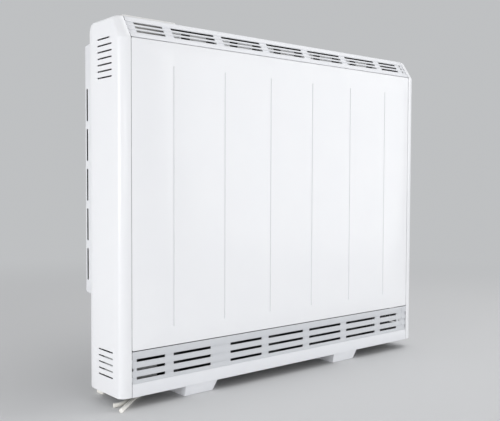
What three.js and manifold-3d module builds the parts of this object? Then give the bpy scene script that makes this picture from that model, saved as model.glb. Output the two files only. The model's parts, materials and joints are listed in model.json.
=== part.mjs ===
// Slimline electric storage heater on two feet, with a wall stand-off frame behind it.
//
// All lengths are in millimetres, +Z up. Pieces are modelled in the case frame: x from the heater's
// left side (seen from the front), y from the front face towards the wall, z from the underside of
// the case. The last lines move that frame so that the origin is on the floor, centred.

import * as THREE from "three";
import { mergeVertices } from "three/addons/utils/BufferGeometryUtils.js";
import Module from "manifold-3d";

const wasm = await Module();
wasm.setup();

// ---------------------------------------------------------------- driving dimensions

const CASE_WIDTH = 853; // outside of one side panel to the outside of the other
const CASE_HEIGHT = 708; // underside of the case to its flat top
const CASE_DEPTH = 119; // front face to rear face
const STANDOFF_DEPTH = 66; // from the case's rear face to the wall
const FOOT_HEIGHT = 22;
const SHEET = 1.2; // case sheet steel
const GAP = 0.3; // running gap between neighbouring pieces
const SEAM = 1; // open seam between the painted panels
const LOWER_SEAM_WIDTH = 1.6; // and the wider one under the front panel

const CHAMFER_DEPTH = 28; // how far the sloping top front edge runs back
const CHAMFER_HEIGHT = 42; // and down
const SIDE_STRIP = 22.4; // width of the side panels seen from the front
const LOWER_SEAM = 86.3; // middle of the seam under the front panel
const PLINTH_HEIGHT = 25;
const PLINTH_RETURN = 12; // folded edge along the plinth's top
const PLINTH_LOWER_RETURN = 4;
const TRAY_UPSTAND = 16; // rear edge of the base tray
const BACK_RETURN = 9; // folded edges of the back panel
const TOP_RETURN = 6; // front fold of the flat top

const EDGE_WIDTH = 19; // rounding of the side panel's front and top edges, along x
const EDGE_FRONT = 12; // the same rounding, across the front face
const EDGE_TOP = 8;
const REAR_TURN_WIDTH = 4; // slight turn-in along the side panel's rear edge
const REAR_TURN_DEPTH = 24;
const REAR_RADIUS = 17; // top rear corner
const SIDE_SLOT_HEIGHT = 3;
const SIDE_SLOT_PITCH = 12;
const SIDE_SLOTS_UPPER = 7;
const SIDE_SLOTS_LOWER = 5;
const SIDE_SLOT_FRONT = 31; // y of the front end of the slots
const SIDE_SLOT_LENGTH = 54;
const SIDE_SLOT_TOP_LENGTH = 47; // the topmost one is shorter
const SIDE_SLOTS_UPPER_Z = CASE_HEIGHT - 112; // lowest slot of the upper group
const SIDE_SLOTS_LOWER_Z = 34;

const BEAD_FIRST = 116.4; // first pressed groove of the front panel
const BEAD_PITCH = 124.3;
const BEAD_MARGIN_RIGHT = 60; // least plain width at the right end
const BEAD_WIDTH = 3.2;
const BEAD_DEPTH = 1;
const BEAD_MARGIN = 40; // plain strip above and below each groove
const PANEL_RETURN = 11; // depth of the front panel's folded edges
const TAB_LENGTH = 16; // tabs of the front panel and the top grille behind the side panels' strips
const TAB_OVERLAP = 2.4;
const PANEL_TABS = [0.06, 0.36, 0.64, 0.94]; // how far up the front panel

const GRILLE_PLATE = 2.6; // grille moulding: plate, and lip proud of it
const GRILLE_LIP = 1.8;
const COLUMN_PITCH = 122.9;
const COLUMN_LENGTH = 103.6;
const END_COLUMN_LENGTH = 63.5;
const COLUMN_MARGIN_RIGHT = 20; // least plain width at the right end
const LOWER_FIRST_COLUMN = 33.9; // x of the first column's left end
const LOWER_SLOT_HEIGHT = 5.8;
const LOWER_ROW_PITCH = 16.6;
const LOWER_ROW_FIRST = 35.3; // z of the lowest row's middle
const BLANK_FROM = 207; // plain stretch of the lower grille
const BLANK_TO = 257.6;
const GRILLE_END_LINE = CASE_WIDTH - 40.7; // thin upright line near the right end
const SCREW_X = CASE_WIDTH - 47.6; // lower grille's fixing screw
const SCREW_HOLE = 3.2;
const SCREW_LENGTH = 11;
const LIP_RAMP = 7; // height of the ramp under the lowest lip
const TOP_FIRST_COLUMN = 41;
const TOP_SLOT_HEIGHT = 4.8;
const TOP_ROW_PITCH = 9.8;
const TOP_ROW_FIRST = 17.2; // along the slope, from its lower edge
const ROW_COUNT = 3;
const DIMPLE_RADIUS = 1.7;
const DIMPLE_INSET = 12.6; // from the top grille's right end

const FOOT_WIDTH = 93;
const FOOT_CENTRES = { left_foot: 182.5, right_foot: CASE_WIDTH - 247.3 };
const FOOT_FRONT = 5; // y of the foot's top front edge
const FOOT_LENGTH = 104;
const FOOT_TAPER_SIDE = 9;
const FOOT_TAPER_END = 7;
const FOOT_WALL = 1.6;
const FOOT_REAR_TAPER = 4;

const FRAME_INSET = 20; // stand-off frame, from the side of the case
const FRAME_BOTTOM = 171;
const FRAME_TOP = CASE_HEIGHT - 28;
const FRAME_DRAFT = 6; // the frame's rear is this much smaller on each edge
const FRAME_WALL = 1.6;
const FRAME_FLANGE = 26; // width of the flange against the wall
const FRAME_SLOT_LENGTH = 65;
const FRAME_SLOT_WIDTH = 7;
const FRAME_SLOT_PITCH = 80;
const FRAME_SLOT_FIRST = 235; // z of the lowest slot's middle
const FRAME_SLOT_MARGIN = 90; // least height from the highest slot's middle to the frame's top
const FRAME_SLOT_REAR = 11.5; // slot's centre line to the wall
const WALL_HOLE_RADIUS = 4.2;
const WALL_HOLE_INSET = 60; // from the corner of the flange's middle line

const COVER_LEFT = 23.2; // control cover on the flat top
const COVER_WIDTH = 119.6;
const COVER_FRONT = 30;
const COVER_DEPTH = CASE_DEPTH - 43;
const COVER_RISE = 3; // above the top panel
const COVER_CORNER = 6;
const COVER_MARGIN = 8; // cover overlaps its cut-out by this much
const HOUSING_DEPTH = 30;
const HOUSING_WALL = 1.8;
const BOARD_THICKNESS = 1.6;
const BOARD_BOSS = 17; // height of the bosses that carry the board
const WINDOW_WIDTH = 46;
const WINDOW_DEPTH = COVER_DEPTH - 54;
const WINDOW_THICKNESS = 2;
const BUTTON_WIDTH = 13;
const BUTTON_DEPTH = 8.6;
const BUTTON_PITCH = 19.4;
const BUTTON_TRAVEL = 1;
const BUTTON_PROUD = 0.6;
const BUTTON_RIM = 0.8;
const BUTTON_CORNER = 2;
const BUTTON_ROW = 22; // from the cover's front edge to the middle of the buttons
const WINDOW_ROW = COVER_DEPTH - WINDOW_DEPTH / 2 - 19; // and to the middle of the window
const STEM_RADIUS = 2.2;
const STEM_LENGTH = 5;
const SWITCH_SIZE = 6; // push switches on the board
const SWITCH_CLEAR = 2.6; // board to the bottom of the button's stem
const BOSS_RADIUS = 3.2;
const BOSS_INSET = 7;
const RELAY_SIZE = [16, 18, 12];
const RELAY_OFFSETS = [-30, 0];
const WINDOW_RECESS = 0.4; // window's face below the cover's
const BUTTON_NAMES = ["mode_button", "minus_button", "plus_button", "enter_button", "boost_button"];

const BRICK_COLUMNS = 3;
const BRICK_COURSES = 3;
const DUCT_WIDTH = 44; // upright air duct in each brick's front face
const DUCT_DEPTH = 9;
const SLAB = 18; // insulation boards
const CORE_LEFT = 125; // inner left face of the core case
const CORE_FRONT = 13.8; // front face of the front insulation board
const CORE_ROOM_RIGHT = 72.2; // from the core to the outside of the case: right, top and rear
const CORE_ROOM_TOP = 76;
const CORE_ROOM_BACK = 5.3;
const SHELF_HEIGHT = 93.2; // top of the shelf that carries the core
const SHELF_WINDOWS = 5; // air windows in its front wall
const SHELF_WINDOW_SIDE = 14; // and the metal left round each: at its sides, below and above it
const SHELF_WINDOW_LOW = 20;
const SHELF_WINDOW_HIGH = 16;
const SHELF_WINDOW_CORNER = 6;
const ELEMENT_RADIUS = 4;
const ELEMENT_BEND = 8; // centre line radius of the hairpin's bend
const ELEMENT_TAIL = 17; // how far the cold ends stand out of the core case
const SEAT_CLEARANCE = 0.5; // round the elements in the bricks and boards
const PIN_RADIUS = 1.8;
const PIN_LENGTH = 12;
const SENSOR_RADIUS = 3;
const SENSOR_HEAD = 6;
const CUTOUT_LENGTH = 16; // thermal cut-out: can, flange and reset button
const CUTOUT_RADIUS = 9;
const CUTOUT_FLANGE = [40, 22, 2];
const RESET_RADIUS = 2.4;
const RESET_WELL = 10; // depth of the reset button's well
const RESET_PROUD = 3;
const RESET_TRAVEL = 2;

const OUTLET_LEFT = 200; // hot air outlet in the core lid
const OUTLET_FRONT = 52;
const OUTLET_TO_RIGHT = 70.8; // from the outlet to the core's right and rear inner faces
const OUTLET_TO_BACK = 31.7;
const FLAP_OVERLAP = 6;
const FLAP_SHEET = 1;
const SHAFT_RADIUS = 3;
const SHAFT_SETBACK = 8; // shaft's axis behind the flap's rear edge of the outlet
const SHAFT_HEIGHT = 7; // above the lid
const BEARING_THICKNESS = 5;
const SHAFT_TAIL = 12; // past the right bearing
const MOTOR_SIZE = [28, 32, 30];
const MOTOR_SOCKET = 14; // how far the shaft enters the motor
const MOTOR_CLEAR = 12; // motor to the left bearing
const FLAP_EDGE = 7; // turned up front edge

const DEFLECTOR_SETBACK = 29.2; // y of the toothed deflector behind the top grille
const DEFLECTOR_TOP = CASE_HEIGHT - 7;
const DEFLECTOR_FOOT = 12;
const FIRST_TOOTH_GAP = 34; // from the deflector's left end
const TOOTH_PITCH = 60.3;
const TOOTH_GAP = 22;
const TOOTH_DEPTH = 7;

const BRACKET_LEFT = 30;
const BRACKET_WIDTH = 56;
const BRACKET_HEIGHT = 60;
const BRACKET_FOOT = 20;
const SHIELD_X = 2; // the bracket's side shield behind the left side panel's slots
const SHIELD_BACK = 96;
const SHIELD_BOTTOM = 40;
const SHIELD_TOP = 90;
const TERMINAL_DEPTH = 22;
const TERMINAL_HEIGHT = 22;
const TERMINAL_BASE = 26; // z of the terminal block's underside
const TERMINAL_POLES = 5;
const TERMINAL_WELL = 2.6;
const ROOM_SENSOR = [9, 18, 26];

const CORNER_STEPS = 2; // an arc is drawn with twice as many straight steps

const CABLE_RADIUS = 4;
const CABLE_SIDES = 10;
const CABLE_STEPS = 26;
const CABLE_BEND = 36; // inner cable's bend under the case
const GRIP_LEFT = 15.5; // cord grip on the rear face, low down at the left
const GRIP_PLATE = [25, 20, 2.6]; // its fixing plate: width, height, thickness
const GRIP_WEB = 5;
const BOOT_START = 21; // x of the grip's tapered boot
const BOOT_LENGTH = 21;
const CABLE_STRAIGHT = 5; // straight stretch out of the boot

// ---------------------------------------------------------------- derived places

const TOTAL_DEPTH = CASE_DEPTH + STANDOFF_DEPTH;
const TAB_X = [SIDE_STRIP - TAB_OVERLAP, CASE_WIDTH - SIDE_STRIP + TAB_OVERLAP];
const INNER_LEFT = SIDE_STRIP + SEAM;
const INNER_RIGHT = CASE_WIDTH - SIDE_STRIP - SEAM;
const INNER_WIDTH = INNER_RIGHT - INNER_LEFT;
const BEAD_COUNT = 1 + Math.floor((INNER_RIGHT - BEAD_MARGIN_RIGHT - BEAD_FIRST) / BEAD_PITCH);
const ALL_COLUMNS = INNER_RIGHT - COLUMN_MARGIN_RIGHT - TOP_FIRST_COLUMN;
const END_COLUMNS = 2 * END_COLUMN_LENGTH + COLUMN_PITCH - COLUMN_LENGTH;
const COLUMN_COUNT = 2 + Math.floor((ALL_COLUMNS - END_COLUMNS) / COLUMN_PITCH);
const FRAME_SLOT_ROOM = FRAME_TOP - FRAME_SLOT_MARGIN - FRAME_SLOT_FIRST;
const FRAME_SLOT_COUNT = 1 + Math.floor(FRAME_SLOT_ROOM / FRAME_SLOT_PITCH);
const CHAMFER_FOOT = CASE_HEIGHT - CHAMFER_HEIGHT;
const SLOPE_LENGTH = Math.hypot(CHAMFER_DEPTH, CHAMFER_HEIGHT);
const SLOPE_ANGLE = Math.atan2(CHAMFER_DEPTH, CHAMFER_HEIGHT);
const REAR_FLANGE_DROP = 30; // the top panel's rear flange
const BACK_TOP = CASE_HEIGHT - REAR_FLANGE_DROP - GAP;
const FLOOR = -FOOT_HEIGHT;

const CORE_RIGHT = CASE_WIDTH - CORE_ROOM_RIGHT;
const CORE_BACK = CASE_DEPTH - CORE_ROOM_BACK;
const CORE_TOP = CASE_HEIGHT - CORE_ROOM_TOP;
const BRICK_LEFT = CORE_LEFT + GAP + SLAB + GAP;
const BRICK_FRONT = CORE_FRONT + SLAB + GAP;
const BRICK_BASE = SHELF_HEIGHT + GAP + SLAB + GAP;
const BRICK_RIGHT = CORE_RIGHT - SLAB - GAP;
const BRICK_TOP = CORE_TOP - SLAB - GAP;
const COLUMN_STEP = (BRICK_RIGHT - BRICK_LEFT) / BRICK_COLUMNS;
const COURSE_PITCH = (BRICK_TOP - BRICK_BASE) / BRICK_COURSES;
const BRICK_WIDTH = COLUMN_STEP - GAP;
const BRICK_HEIGHT = COURSE_PITCH - GAP;
const BRICK_DEPTH = CORE_BACK - GAP - SLAB - GAP - BRICK_FRONT;
const OUTLET_WIDTH = CORE_RIGHT - OUTLET_TO_RIGHT - OUTLET_LEFT;
const OUTLET_DEPTH = CORE_BACK - OUTLET_TO_BACK - OUTLET_FRONT;
const LID_TOP = CORE_TOP + SHEET;
const ELEMENT_Y = BRICK_FRONT + BRICK_DEPTH / 2;
const GROOVE_RADIUS = ELEMENT_RADIUS + SEAT_CLEARANCE;
const ELEMENT_LEGS = [ELEMENT_Y - ELEMENT_BEND, ELEMENT_Y + ELEMENT_BEND];
const SENSOR_Y = ELEMENT_Y;
const SENSOR_Z = BRICK_BASE + BRICK_HEIGHT / 2;
const CUTOUT_Y = ELEMENT_Y;
const CUTOUT_Z = BRICK_BASE + 2.5 * COURSE_PITCH;

// ---------------------------------------------------------------- materials

function finish(color, roughness, metalness) {
  return () => new THREE.MeshStandardMaterial({ color, roughness, metalness });
}

const whitePaint = finish(0xf1f2f4, 0.42, 0.05);
const greyPaint = finish(0xdfe2e5, 0.45, 0.05);
const galvanised = finish(0xa7abad, 0.45, 0.8);
const board = finish(0xcfcabd, 0.95, 0);
const brick = finish(0x4b4038, 0.95, 0.05);
const sheath = finish(0x6f6a66, 0.4, 0.85);
const whitePlastic = finish(0xececea, 0.4, 0);
const darkPlastic = finish(0x2c2e31, 0.5, 0);
const smokedLens = finish(0x23282b, 0.1, 0);
const circuitBoard = finish(0x2f6b45, 0.6, 0);
const cableWhite = finish(0xeeebe2, 0.5, 0);
const steel = finish(0xb9bcbf, 0.35, 0.9);

// ---------------------------------------------------------------- solids

function toSolid(geometry) {
  const bare = geometry.index ? geometry.toNonIndexed() : geometry.clone();
  bare.deleteAttribute("normal");
  bare.deleteAttribute("uv");
  const merged = mergeVertices(bare, 1e-4);
  return new wasm.Manifold(
    new wasm.Mesh({
      numProp: 3,
      vertProperties: merged.attributes.position.array,
      triVerts: new Uint32Array(merged.index.array),
    }),
  );
}

function toGeometry(solid) {
  const { vertProperties, triVerts, numProp } = solid.getMesh();
  const geometry = new THREE.BufferGeometry();
  const corners = new Float32Array((vertProperties.length / numProp) * 3);
  for (let i = 0; i < corners.length / 3; i++)
    for (let k = 0; k < 3; k++) corners[3 * i + k] = vertProperties[numProp * i + k];
  geometry.setAttribute("position", new THREE.BufferAttribute(corners, 3));
  geometry.setIndex([...triVerts]);
  geometry.computeVertexNormals();
  return geometry;
}

function cut(body, ...tools) {
  return tools.flat().reduce((rest, tool) => rest.subtract(tool), body);
}

function join(...bodies) {
  return bodies.flat().reduce((sum, body) => sum.add(body));
}

// A box between two limits on each axis.
function block([x0, x1], [y0, y1], [z0, z1]) {
  const box = new THREE.BoxGeometry(x1 - x0, y1 - y0, z1 - z0);
  return toSolid(box.translate((x0 + x1) / 2, (y0 + y1) / 2, (z0 + z1) / 2));
}

// An outline of [u, v] points extruded along one axis: (y, z) along x, (x, z) along y, (x, y) along z.
const AXES = {
  x: [new THREE.Vector3(0, 1, 0), new THREE.Vector3(0, 0, 1), new THREE.Vector3(1, 0, 0)],
  y: [new THREE.Vector3(1, 0, 0), new THREE.Vector3(0, 0, 1), new THREE.Vector3(0, -1, 0)],
  z: [new THREE.Vector3(1, 0, 0), new THREE.Vector3(0, 1, 0), new THREE.Vector3(0, 0, 1)],
};

function prism(axis, outline, from, to) {
  const isShape = outline instanceof THREE.Shape;
  const shape = isShape ? outline : new THREE.Shape(outline.map(([u, v]) => new THREE.Vector2(u, v)));
  const extruded = new THREE.ExtrudeGeometry(shape, {
    depth: to - from,
    bevelEnabled: false,
    curveSegments: CORNER_STEPS,
  });
  const place = new THREE.Matrix4().makeBasis(...AXES[axis]);
  place.setPosition(AXES[axis][2].clone().multiplyScalar(axis === "y" ? -to : from));
  return toSolid(extruded.applyMatrix4(place));
}

// A round bar along one axis; u and v are its centre in the same order as for prism.
function bar(axis, u, v, radius, from, to, sides = 12) {
  const round = Array.from({ length: sides }, (_, i) => {
    const turn = (2 * Math.PI * (i + 0.5)) / sides;
    return [u + radius * Math.cos(turn), v + radius * Math.sin(turn)];
  });
  return prism(axis, round, from, to);
}

// A slot outline with round ends, its length along u or along v.
function slotOutline(u0, u1, v0, v1) {
  const shape = new THREE.Shape();
  const upright = v1 - v0 > u1 - u0;
  const r = Math.min(u1 - u0, v1 - v0) / 2;
  if (upright) {
    shape.absarc(u0 + r, v1 - r, r, 0, Math.PI, false);
    shape.absarc(u0 + r, v0 + r, r, Math.PI, 2 * Math.PI, false);
  } else {
    shape.absarc(u1 - r, v0 + r, r, -Math.PI / 2, Math.PI / 2, false);
    shape.absarc(u0 + r, v0 + r, r, Math.PI / 2, 1.5 * Math.PI, false);
  }
  return shape;
}

// A rectangle with rounded corners.
function roundedRectangle(u0, u1, v0, v1, r) {
  const shape = new THREE.Shape();
  shape.absarc(u1 - r, v0 + r, r, -Math.PI / 2, 0, false);
  shape.absarc(u1 - r, v1 - r, r, 0, Math.PI / 2, false);
  shape.absarc(u0 + r, v1 - r, r, Math.PI / 2, Math.PI, false);
  shape.absarc(u0 + r, v0 + r, r, Math.PI, 1.5 * Math.PI, false);
  return shape;
}

// The corner points of a rounded outline, without the repeated last one.
function outlinePoints(shape) {
  return shape
    .extractPoints(CORNER_STEPS)
    .shape.slice(0, -1)
    .map((point) => [point.x, point.y]);
}

// A closed body through convex rings of [x, y, z] points, the same number in each.
function loft(rings) {
  const count = rings[0].length;
  const points = rings.flat(2);
  const index = [];
  for (let ring = 0; ring + 1 < rings.length; ring++)
    for (let i = 0; i < count; i++) {
      const a = ring * count + i;
      const b = ring * count + ((i + 1) % count);
      index.push(a, b, a + count, b, b + count, a + count);
    }
  const last = (rings.length - 1) * count;
  for (let i = 1; i + 1 < count; i++) {
    index.push(0, i + 1, i);
    index.push(last, last + i, last + i + 1);
  }
  let volume = 0;
  for (let i = 0; i < index.length; i += 3) {
    const [a, b, c] = index.slice(i, i + 3).map((at) => new THREE.Vector3().fromArray(points, 3 * at));
    volume += a.dot(b.cross(c));
  }
  if (volume < 0) index.reverse();
  const geometry = new THREE.BufferGeometry();
  geometry.setAttribute("position", new THREE.Float32BufferAttribute(points, 3));
  geometry.setIndex(index);
  return toSolid(geometry);
}

// Replaces each corner of a polygon by an arc of its own radius, with a set number of steps.
function rounded(corners, radii, steps) {
  const points = [];
  corners.forEach((corner, i) => {
    const before = corners[(i + corners.length - 1) % corners.length];
    const after = corners[(i + 1) % corners.length];
    const at = new THREE.Vector2(...corner);
    const back = new THREE.Vector2(...before).sub(at).normalize();
    const on = new THREE.Vector2(...after).sub(at).normalize();
    const half = Math.acos(THREE.MathUtils.clamp(back.dot(on), -1, 1)) / 2;
    const reach = radii[i] / Math.tan(half);
    const start = at.clone().addScaledVector(back, reach);
    const end = at.clone().addScaledVector(on, reach);
    const centre = at.clone().addScaledVector(back.clone().add(on).normalize(), radii[i] / Math.sin(half));
    const from = start.clone().sub(centre).angle();
    let sweep = end.clone().sub(centre).angle() - from;
    sweep = Math.atan2(Math.sin(sweep), Math.cos(sweep));
    for (let k = 0; k <= steps[i]; k++) {
      const turn = from + (sweep * k) / steps[i];
      points.push([centre.x + radii[i] * Math.cos(turn), centre.y + radii[i] * Math.sin(turn)]);
    }
  });
  return points;
}

// ---------------------------------------------------------------- side panels

// The case's side outline, drawn in by its own amount on each edge.
function sideOutline({ front, top, rear, bottom }) {
  const slope = [CHAMFER_DEPTH / SLOPE_LENGTH, CHAMFER_HEIGHT / SLOPE_LENGTH];
  const inward = Math.max(front, top);
  const slopeAt = (y) => CHAMFER_FOOT - inward * slope[0] + ((y - inward * slope[1]) * slope[1]) / slope[0];
  const slopeY = (z) => inward * slope[1] + ((z - CHAMFER_FOOT + inward * slope[0]) * slope[0]) / slope[1];
  const crest = CASE_HEIGHT - top;
  const back = CASE_DEPTH - rear;
  const corners = [
    [front, bottom],
    [back, bottom],
    [back, crest],
    [slopeY(crest), crest],
    [front, slopeAt(front)],
  ];
  const rearRadius = Math.max(REAR_RADIUS - Math.min(rear, top), 4);
  return rounded(corners, [1.5, 3, rearRadius, 5, 8], [1, 2, 4, 2, 3]);
}

// Inset of an elliptical edge of the given width (along x) and depth, at a distance x from the side.
function edgeInset(x, width, depth) {
  if (x >= width) return 0;
  const rise = 1 - x / width;
  return depth * (1 - Math.sqrt(1 - rise * rise));
}

function sideRing(x, wall, mirrored) {
  const outline = sideOutline({
    front: wall + edgeInset(x, EDGE_WIDTH, EDGE_FRONT),
    top: wall + edgeInset(x, EDGE_WIDTH, EDGE_TOP),
    rear: wall + edgeInset(x, REAR_TURN_WIDTH, REAR_TURN_DEPTH),
    bottom: wall,
  });
  const across = x + wall;
  return outline.map(([y, z]) => [mirrored ? CASE_WIDTH - across : across, y, z]);
}

function sidePanel(mirrored) {
  const stations = [SIDE_STRIP, EDGE_WIDTH, 13, 8.5, 5.2, REAR_TURN_WIDTH, 2.2, 1, 0.3, 0];
  const innerStations = [SIDE_STRIP + 1, EDGE_WIDTH, 11, 6, REAR_TURN_WIDTH, 1.6, 0];
  const shell = cut(
    loft(stations.map((x) => sideRing(x, 0, mirrored))),
    loft(innerStations.map((x) => sideRing(x, SHEET, mirrored))),
  );
  const reach = mirrored ? [CASE_WIDTH - 4, CASE_WIDTH + 1] : [-1, 4];
  const slots = [];
  const addSlots = (count, lowest) => {
    for (let i = 0; i < count; i++) {
      const z = lowest + i * SIDE_SLOT_PITCH;
      const short = lowest === SIDE_SLOTS_UPPER_Z && i === count - 1;
      const front = SIDE_SLOT_FRONT + (short ? SIDE_SLOT_LENGTH - SIDE_SLOT_TOP_LENGTH : 0);
      const outline = slotOutline(
        front,
        SIDE_SLOT_FRONT + SIDE_SLOT_LENGTH,
        z - SIDE_SLOT_HEIGHT / 2,
        z + SIDE_SLOT_HEIGHT / 2,
      );
      slots.push(prism("x", outline, ...reach));
    }
  };
  addSlots(SIDE_SLOTS_UPPER, SIDE_SLOTS_UPPER_Z);
  addSlots(SIDE_SLOTS_LOWER, SIDE_SLOTS_LOWER_Z);
  return cut(shell, slots);
}

// ---------------------------------------------------------------- front, top and back

// Flat-bottomed groove pressed into the front panel, with tapering ends.
function bead(x, z0, z1, y0, y1, halfWidth0, halfWidth1) {
  const ring = (y, half) => [
    [x, y, z0 - half],
    [x + half, y, z0 + 2],
    [x + half, y, z1 - 2],
    [x, y, z1 + half],
    [x - half, y, z1 - 2],
    [x - half, y, z0 + 2],
  ];
  return loft([ring(y0, halfWidth0), ring(y1, halfWidth1)]);
}

// A tab at each end of a panel that lies behind the side panels' front strips.
function tabPair(y, z) {
  return [block([TAB_X[0], INNER_LEFT + SHEET], y, z), block([INNER_RIGHT - SHEET, TAB_X[1]], y, z)];
}

function frontPanel() {
  const bottom = LOWER_SEAM + LOWER_SEAM_WIDTH / 2;
  const top = CHAMFER_FOOT - SEAM / 2;
  const outline = [
    [INNER_LEFT, PANEL_RETURN],
    [INNER_LEFT, 1],
    [INNER_LEFT + 1, 0],
    [INNER_RIGHT - 1, 0],
    [INNER_RIGHT, 1],
    [INNER_RIGHT, PANEL_RETURN],
  ];
  const skin = cut(
    prism("z", outline, bottom, top),
    block(
      [INNER_LEFT + SHEET, INNER_RIGHT - SHEET],
      [SHEET, PANEL_RETURN + 1],
      [bottom + SHEET, top - SHEET],
    ),
  );
  const ridges = [];
  const grooves = [];
  for (let i = 0; i < BEAD_COUNT; i++) {
    const x = BEAD_FIRST + i * BEAD_PITCH;
    const half = BEAD_WIDTH / 2;
    const ends = [bottom + BEAD_MARGIN - 4, top - BEAD_MARGIN];
    ridges.push(bead(x, ...ends, SHEET - 0.1, SHEET + BEAD_DEPTH, half, 0.6));
    grooves.push(bead(x, ...ends, -0.1, BEAD_DEPTH, half, 0.4));
  }
  const tabs = PANEL_TABS.map((share) => {
    const z = bottom + share * (top - bottom);
    return tabPair([SHEET + GAP, 2 * SHEET + GAP], [z - TAB_LENGTH / 2, z + TAB_LENGTH / 2]);
  });
  return cut(join(skin, ridges, tabs.flat()), grooves);
}

function plinthRail() {
  const profile = [
    [0, 0],
    [PLINTH_LOWER_RETURN, 0],
    [PLINTH_LOWER_RETURN, SHEET],
    [SHEET, SHEET],
    [SHEET, PLINTH_HEIGHT - SHEET],
    [PLINTH_RETURN, PLINTH_HEIGHT - SHEET],
    [PLINTH_RETURN, PLINTH_HEIGHT],
    [1, PLINTH_HEIGHT],
    [0, PLINTH_HEIGHT - 1],
  ];
  return prism("x", profile, INNER_LEFT, INNER_RIGHT);
}

function baseTray() {
  const low = SHEET + GAP;
  const front = SHEET + GAP;
  const back = CASE_DEPTH - SHEET - GAP;
  const profile = [
    [front, PLINTH_HEIGHT - SHEET - GAP],
    [front, low],
    [back, low],
    [back, TRAY_UPSTAND],
    [back - SHEET, TRAY_UPSTAND],
    [back - SHEET, low + SHEET],
    [front + SHEET, low + SHEET],
    [front + SHEET, PLINTH_HEIGHT - SHEET - GAP],
  ];
  return prism("x", profile, INNER_LEFT, INNER_RIGHT);
}

// The flat top folds down over the rear edge in a wide bend.
function topPanel() {
  const cornerY = CASE_DEPTH - REAR_RADIUS;
  const cornerZ = CASE_HEIGHT - REAR_RADIUS;
  const shape = new THREE.Shape();
  shape.moveTo(CASE_DEPTH, CASE_HEIGHT - REAR_FLANGE_DROP);
  shape.absarc(cornerY, cornerZ, REAR_RADIUS, 0, Math.PI / 2, false);
  shape.lineTo(CHAMFER_DEPTH + SEAM, CASE_HEIGHT);
  shape.lineTo(CHAMFER_DEPTH + SEAM, CASE_HEIGHT - TOP_RETURN);
  shape.lineTo(CHAMFER_DEPTH + SEAM + SHEET, CASE_HEIGHT - TOP_RETURN);
  shape.lineTo(CHAMFER_DEPTH + SEAM + SHEET, CASE_HEIGHT - SHEET);
  shape.absarc(cornerY, cornerZ, REAR_RADIUS - SHEET, Math.PI / 2, 0, true);
  shape.lineTo(CASE_DEPTH - SHEET, CASE_HEIGHT - REAR_FLANGE_DROP);
  const opening = block(cutoutX(0), cutoutY(0), [CASE_HEIGHT - 3, CASE_HEIGHT + 1]);
  return cut(prism("x", shape, INNER_LEFT, INNER_RIGHT), opening);
}

function backPanel() {
  const profile = [
    [INNER_LEFT, CASE_DEPTH],
    [INNER_LEFT, CASE_DEPTH - BACK_RETURN],
    [INNER_LEFT + SHEET, CASE_DEPTH - BACK_RETURN],
    [INNER_LEFT + SHEET, CASE_DEPTH - SHEET],
    [INNER_RIGHT - SHEET, CASE_DEPTH - SHEET],
    [INNER_RIGHT - SHEET, CASE_DEPTH - BACK_RETURN],
    [INNER_RIGHT, CASE_DEPTH - BACK_RETURN],
    [INNER_RIGHT, CASE_DEPTH],
  ];
  const overTray = block(
    [INNER_LEFT - 1, INNER_RIGHT + 1],
    [CASE_DEPTH - BACK_RETURN - 1, CASE_DEPTH - SHEET],
    [-1, TRAY_UPSTAND + 2],
  );
  return cut(prism("z", profile, 0, BACK_TOP), overTray);
}

// ---------------------------------------------------------------- grilles

// An upright louvred moulding: saw-tooth front at y = 0, slots right through under each lip.
function louvredGrille({ length, height, rows, slotHeight, columns }) {
  const back = GRILLE_PLATE + GRILLE_LIP;
  const profile = [
    [back, 0],
    [back, height],
    [0, height],
  ];
  const slots = [];
  for (const z of [...rows].reverse()) {
    const [low, high] = [z - slotHeight / 2, z + slotHeight / 2];
    profile.push([0, high], [GRILLE_LIP, high], [GRILLE_LIP, low]);
    for (const [x0, x1] of columns) slots.push(block([x0, x1], [-1, back + 1], [low, high]));
  }
  profile.push([0, rows[0] - slotHeight / 2 - LIP_RAMP], [0, 0]);
  return cut(prism("x", profile, 0, length), slots);
}

function grilleColumns(first, offset) {
  const columns = [];
  for (let i = 0; i < COLUMN_COUNT; i++) {
    const end = first + END_COLUMN_LENGTH;
    const start = i === 0 ? first : end + (COLUMN_PITCH - COLUMN_LENGTH) + (i - 1) * COLUMN_PITCH;
    const isEnd = i === 0 || i === COLUMN_COUNT - 1;
    columns.push([start - offset, start + (isEnd ? END_COLUMN_LENGTH : COLUMN_LENGTH) - offset]);
  }
  return columns;
}

function rowsFrom(first, pitch) {
  return Array.from({ length: ROW_COUNT }, (_, i) => first + i * pitch);
}

function lowerGrille() {
  const base = PLINTH_HEIGHT + GAP;
  const columns = grilleColumns(LOWER_FIRST_COLUMN, INNER_LEFT);
  columns[1][1] = BLANK_FROM - INNER_LEFT;
  columns[2][0] = BLANK_TO - INNER_LEFT;
  const grille = louvredGrille({
    length: INNER_WIDTH,
    height: LOWER_SEAM - LOWER_SEAM_WIDTH / 2 - base,
    rows: rowsFrom(LOWER_ROW_FIRST - base, LOWER_ROW_PITCH),
    slotHeight: LOWER_SLOT_HEIGHT,
    columns,
  }).translate([INNER_LEFT, 0, base]);
  const middle = LOWER_ROW_FIRST + LOWER_ROW_PITCH;
  return cut(
    grille,
    block([GRILLE_END_LINE, GRILLE_END_LINE + 0.9], [-1, GRILLE_LIP + 0.5], [base + 6, LOWER_SEAM - 6]),
    block([INNER_LEFT - 1, INNER_LEFT + 2], [-1, GRILLE_LIP + 1.4], [middle - 2, middle + 2]),
    bar("y", SCREW_X, middle, SCREW_HOLE, -1, 6, 10),
  );
}

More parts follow.
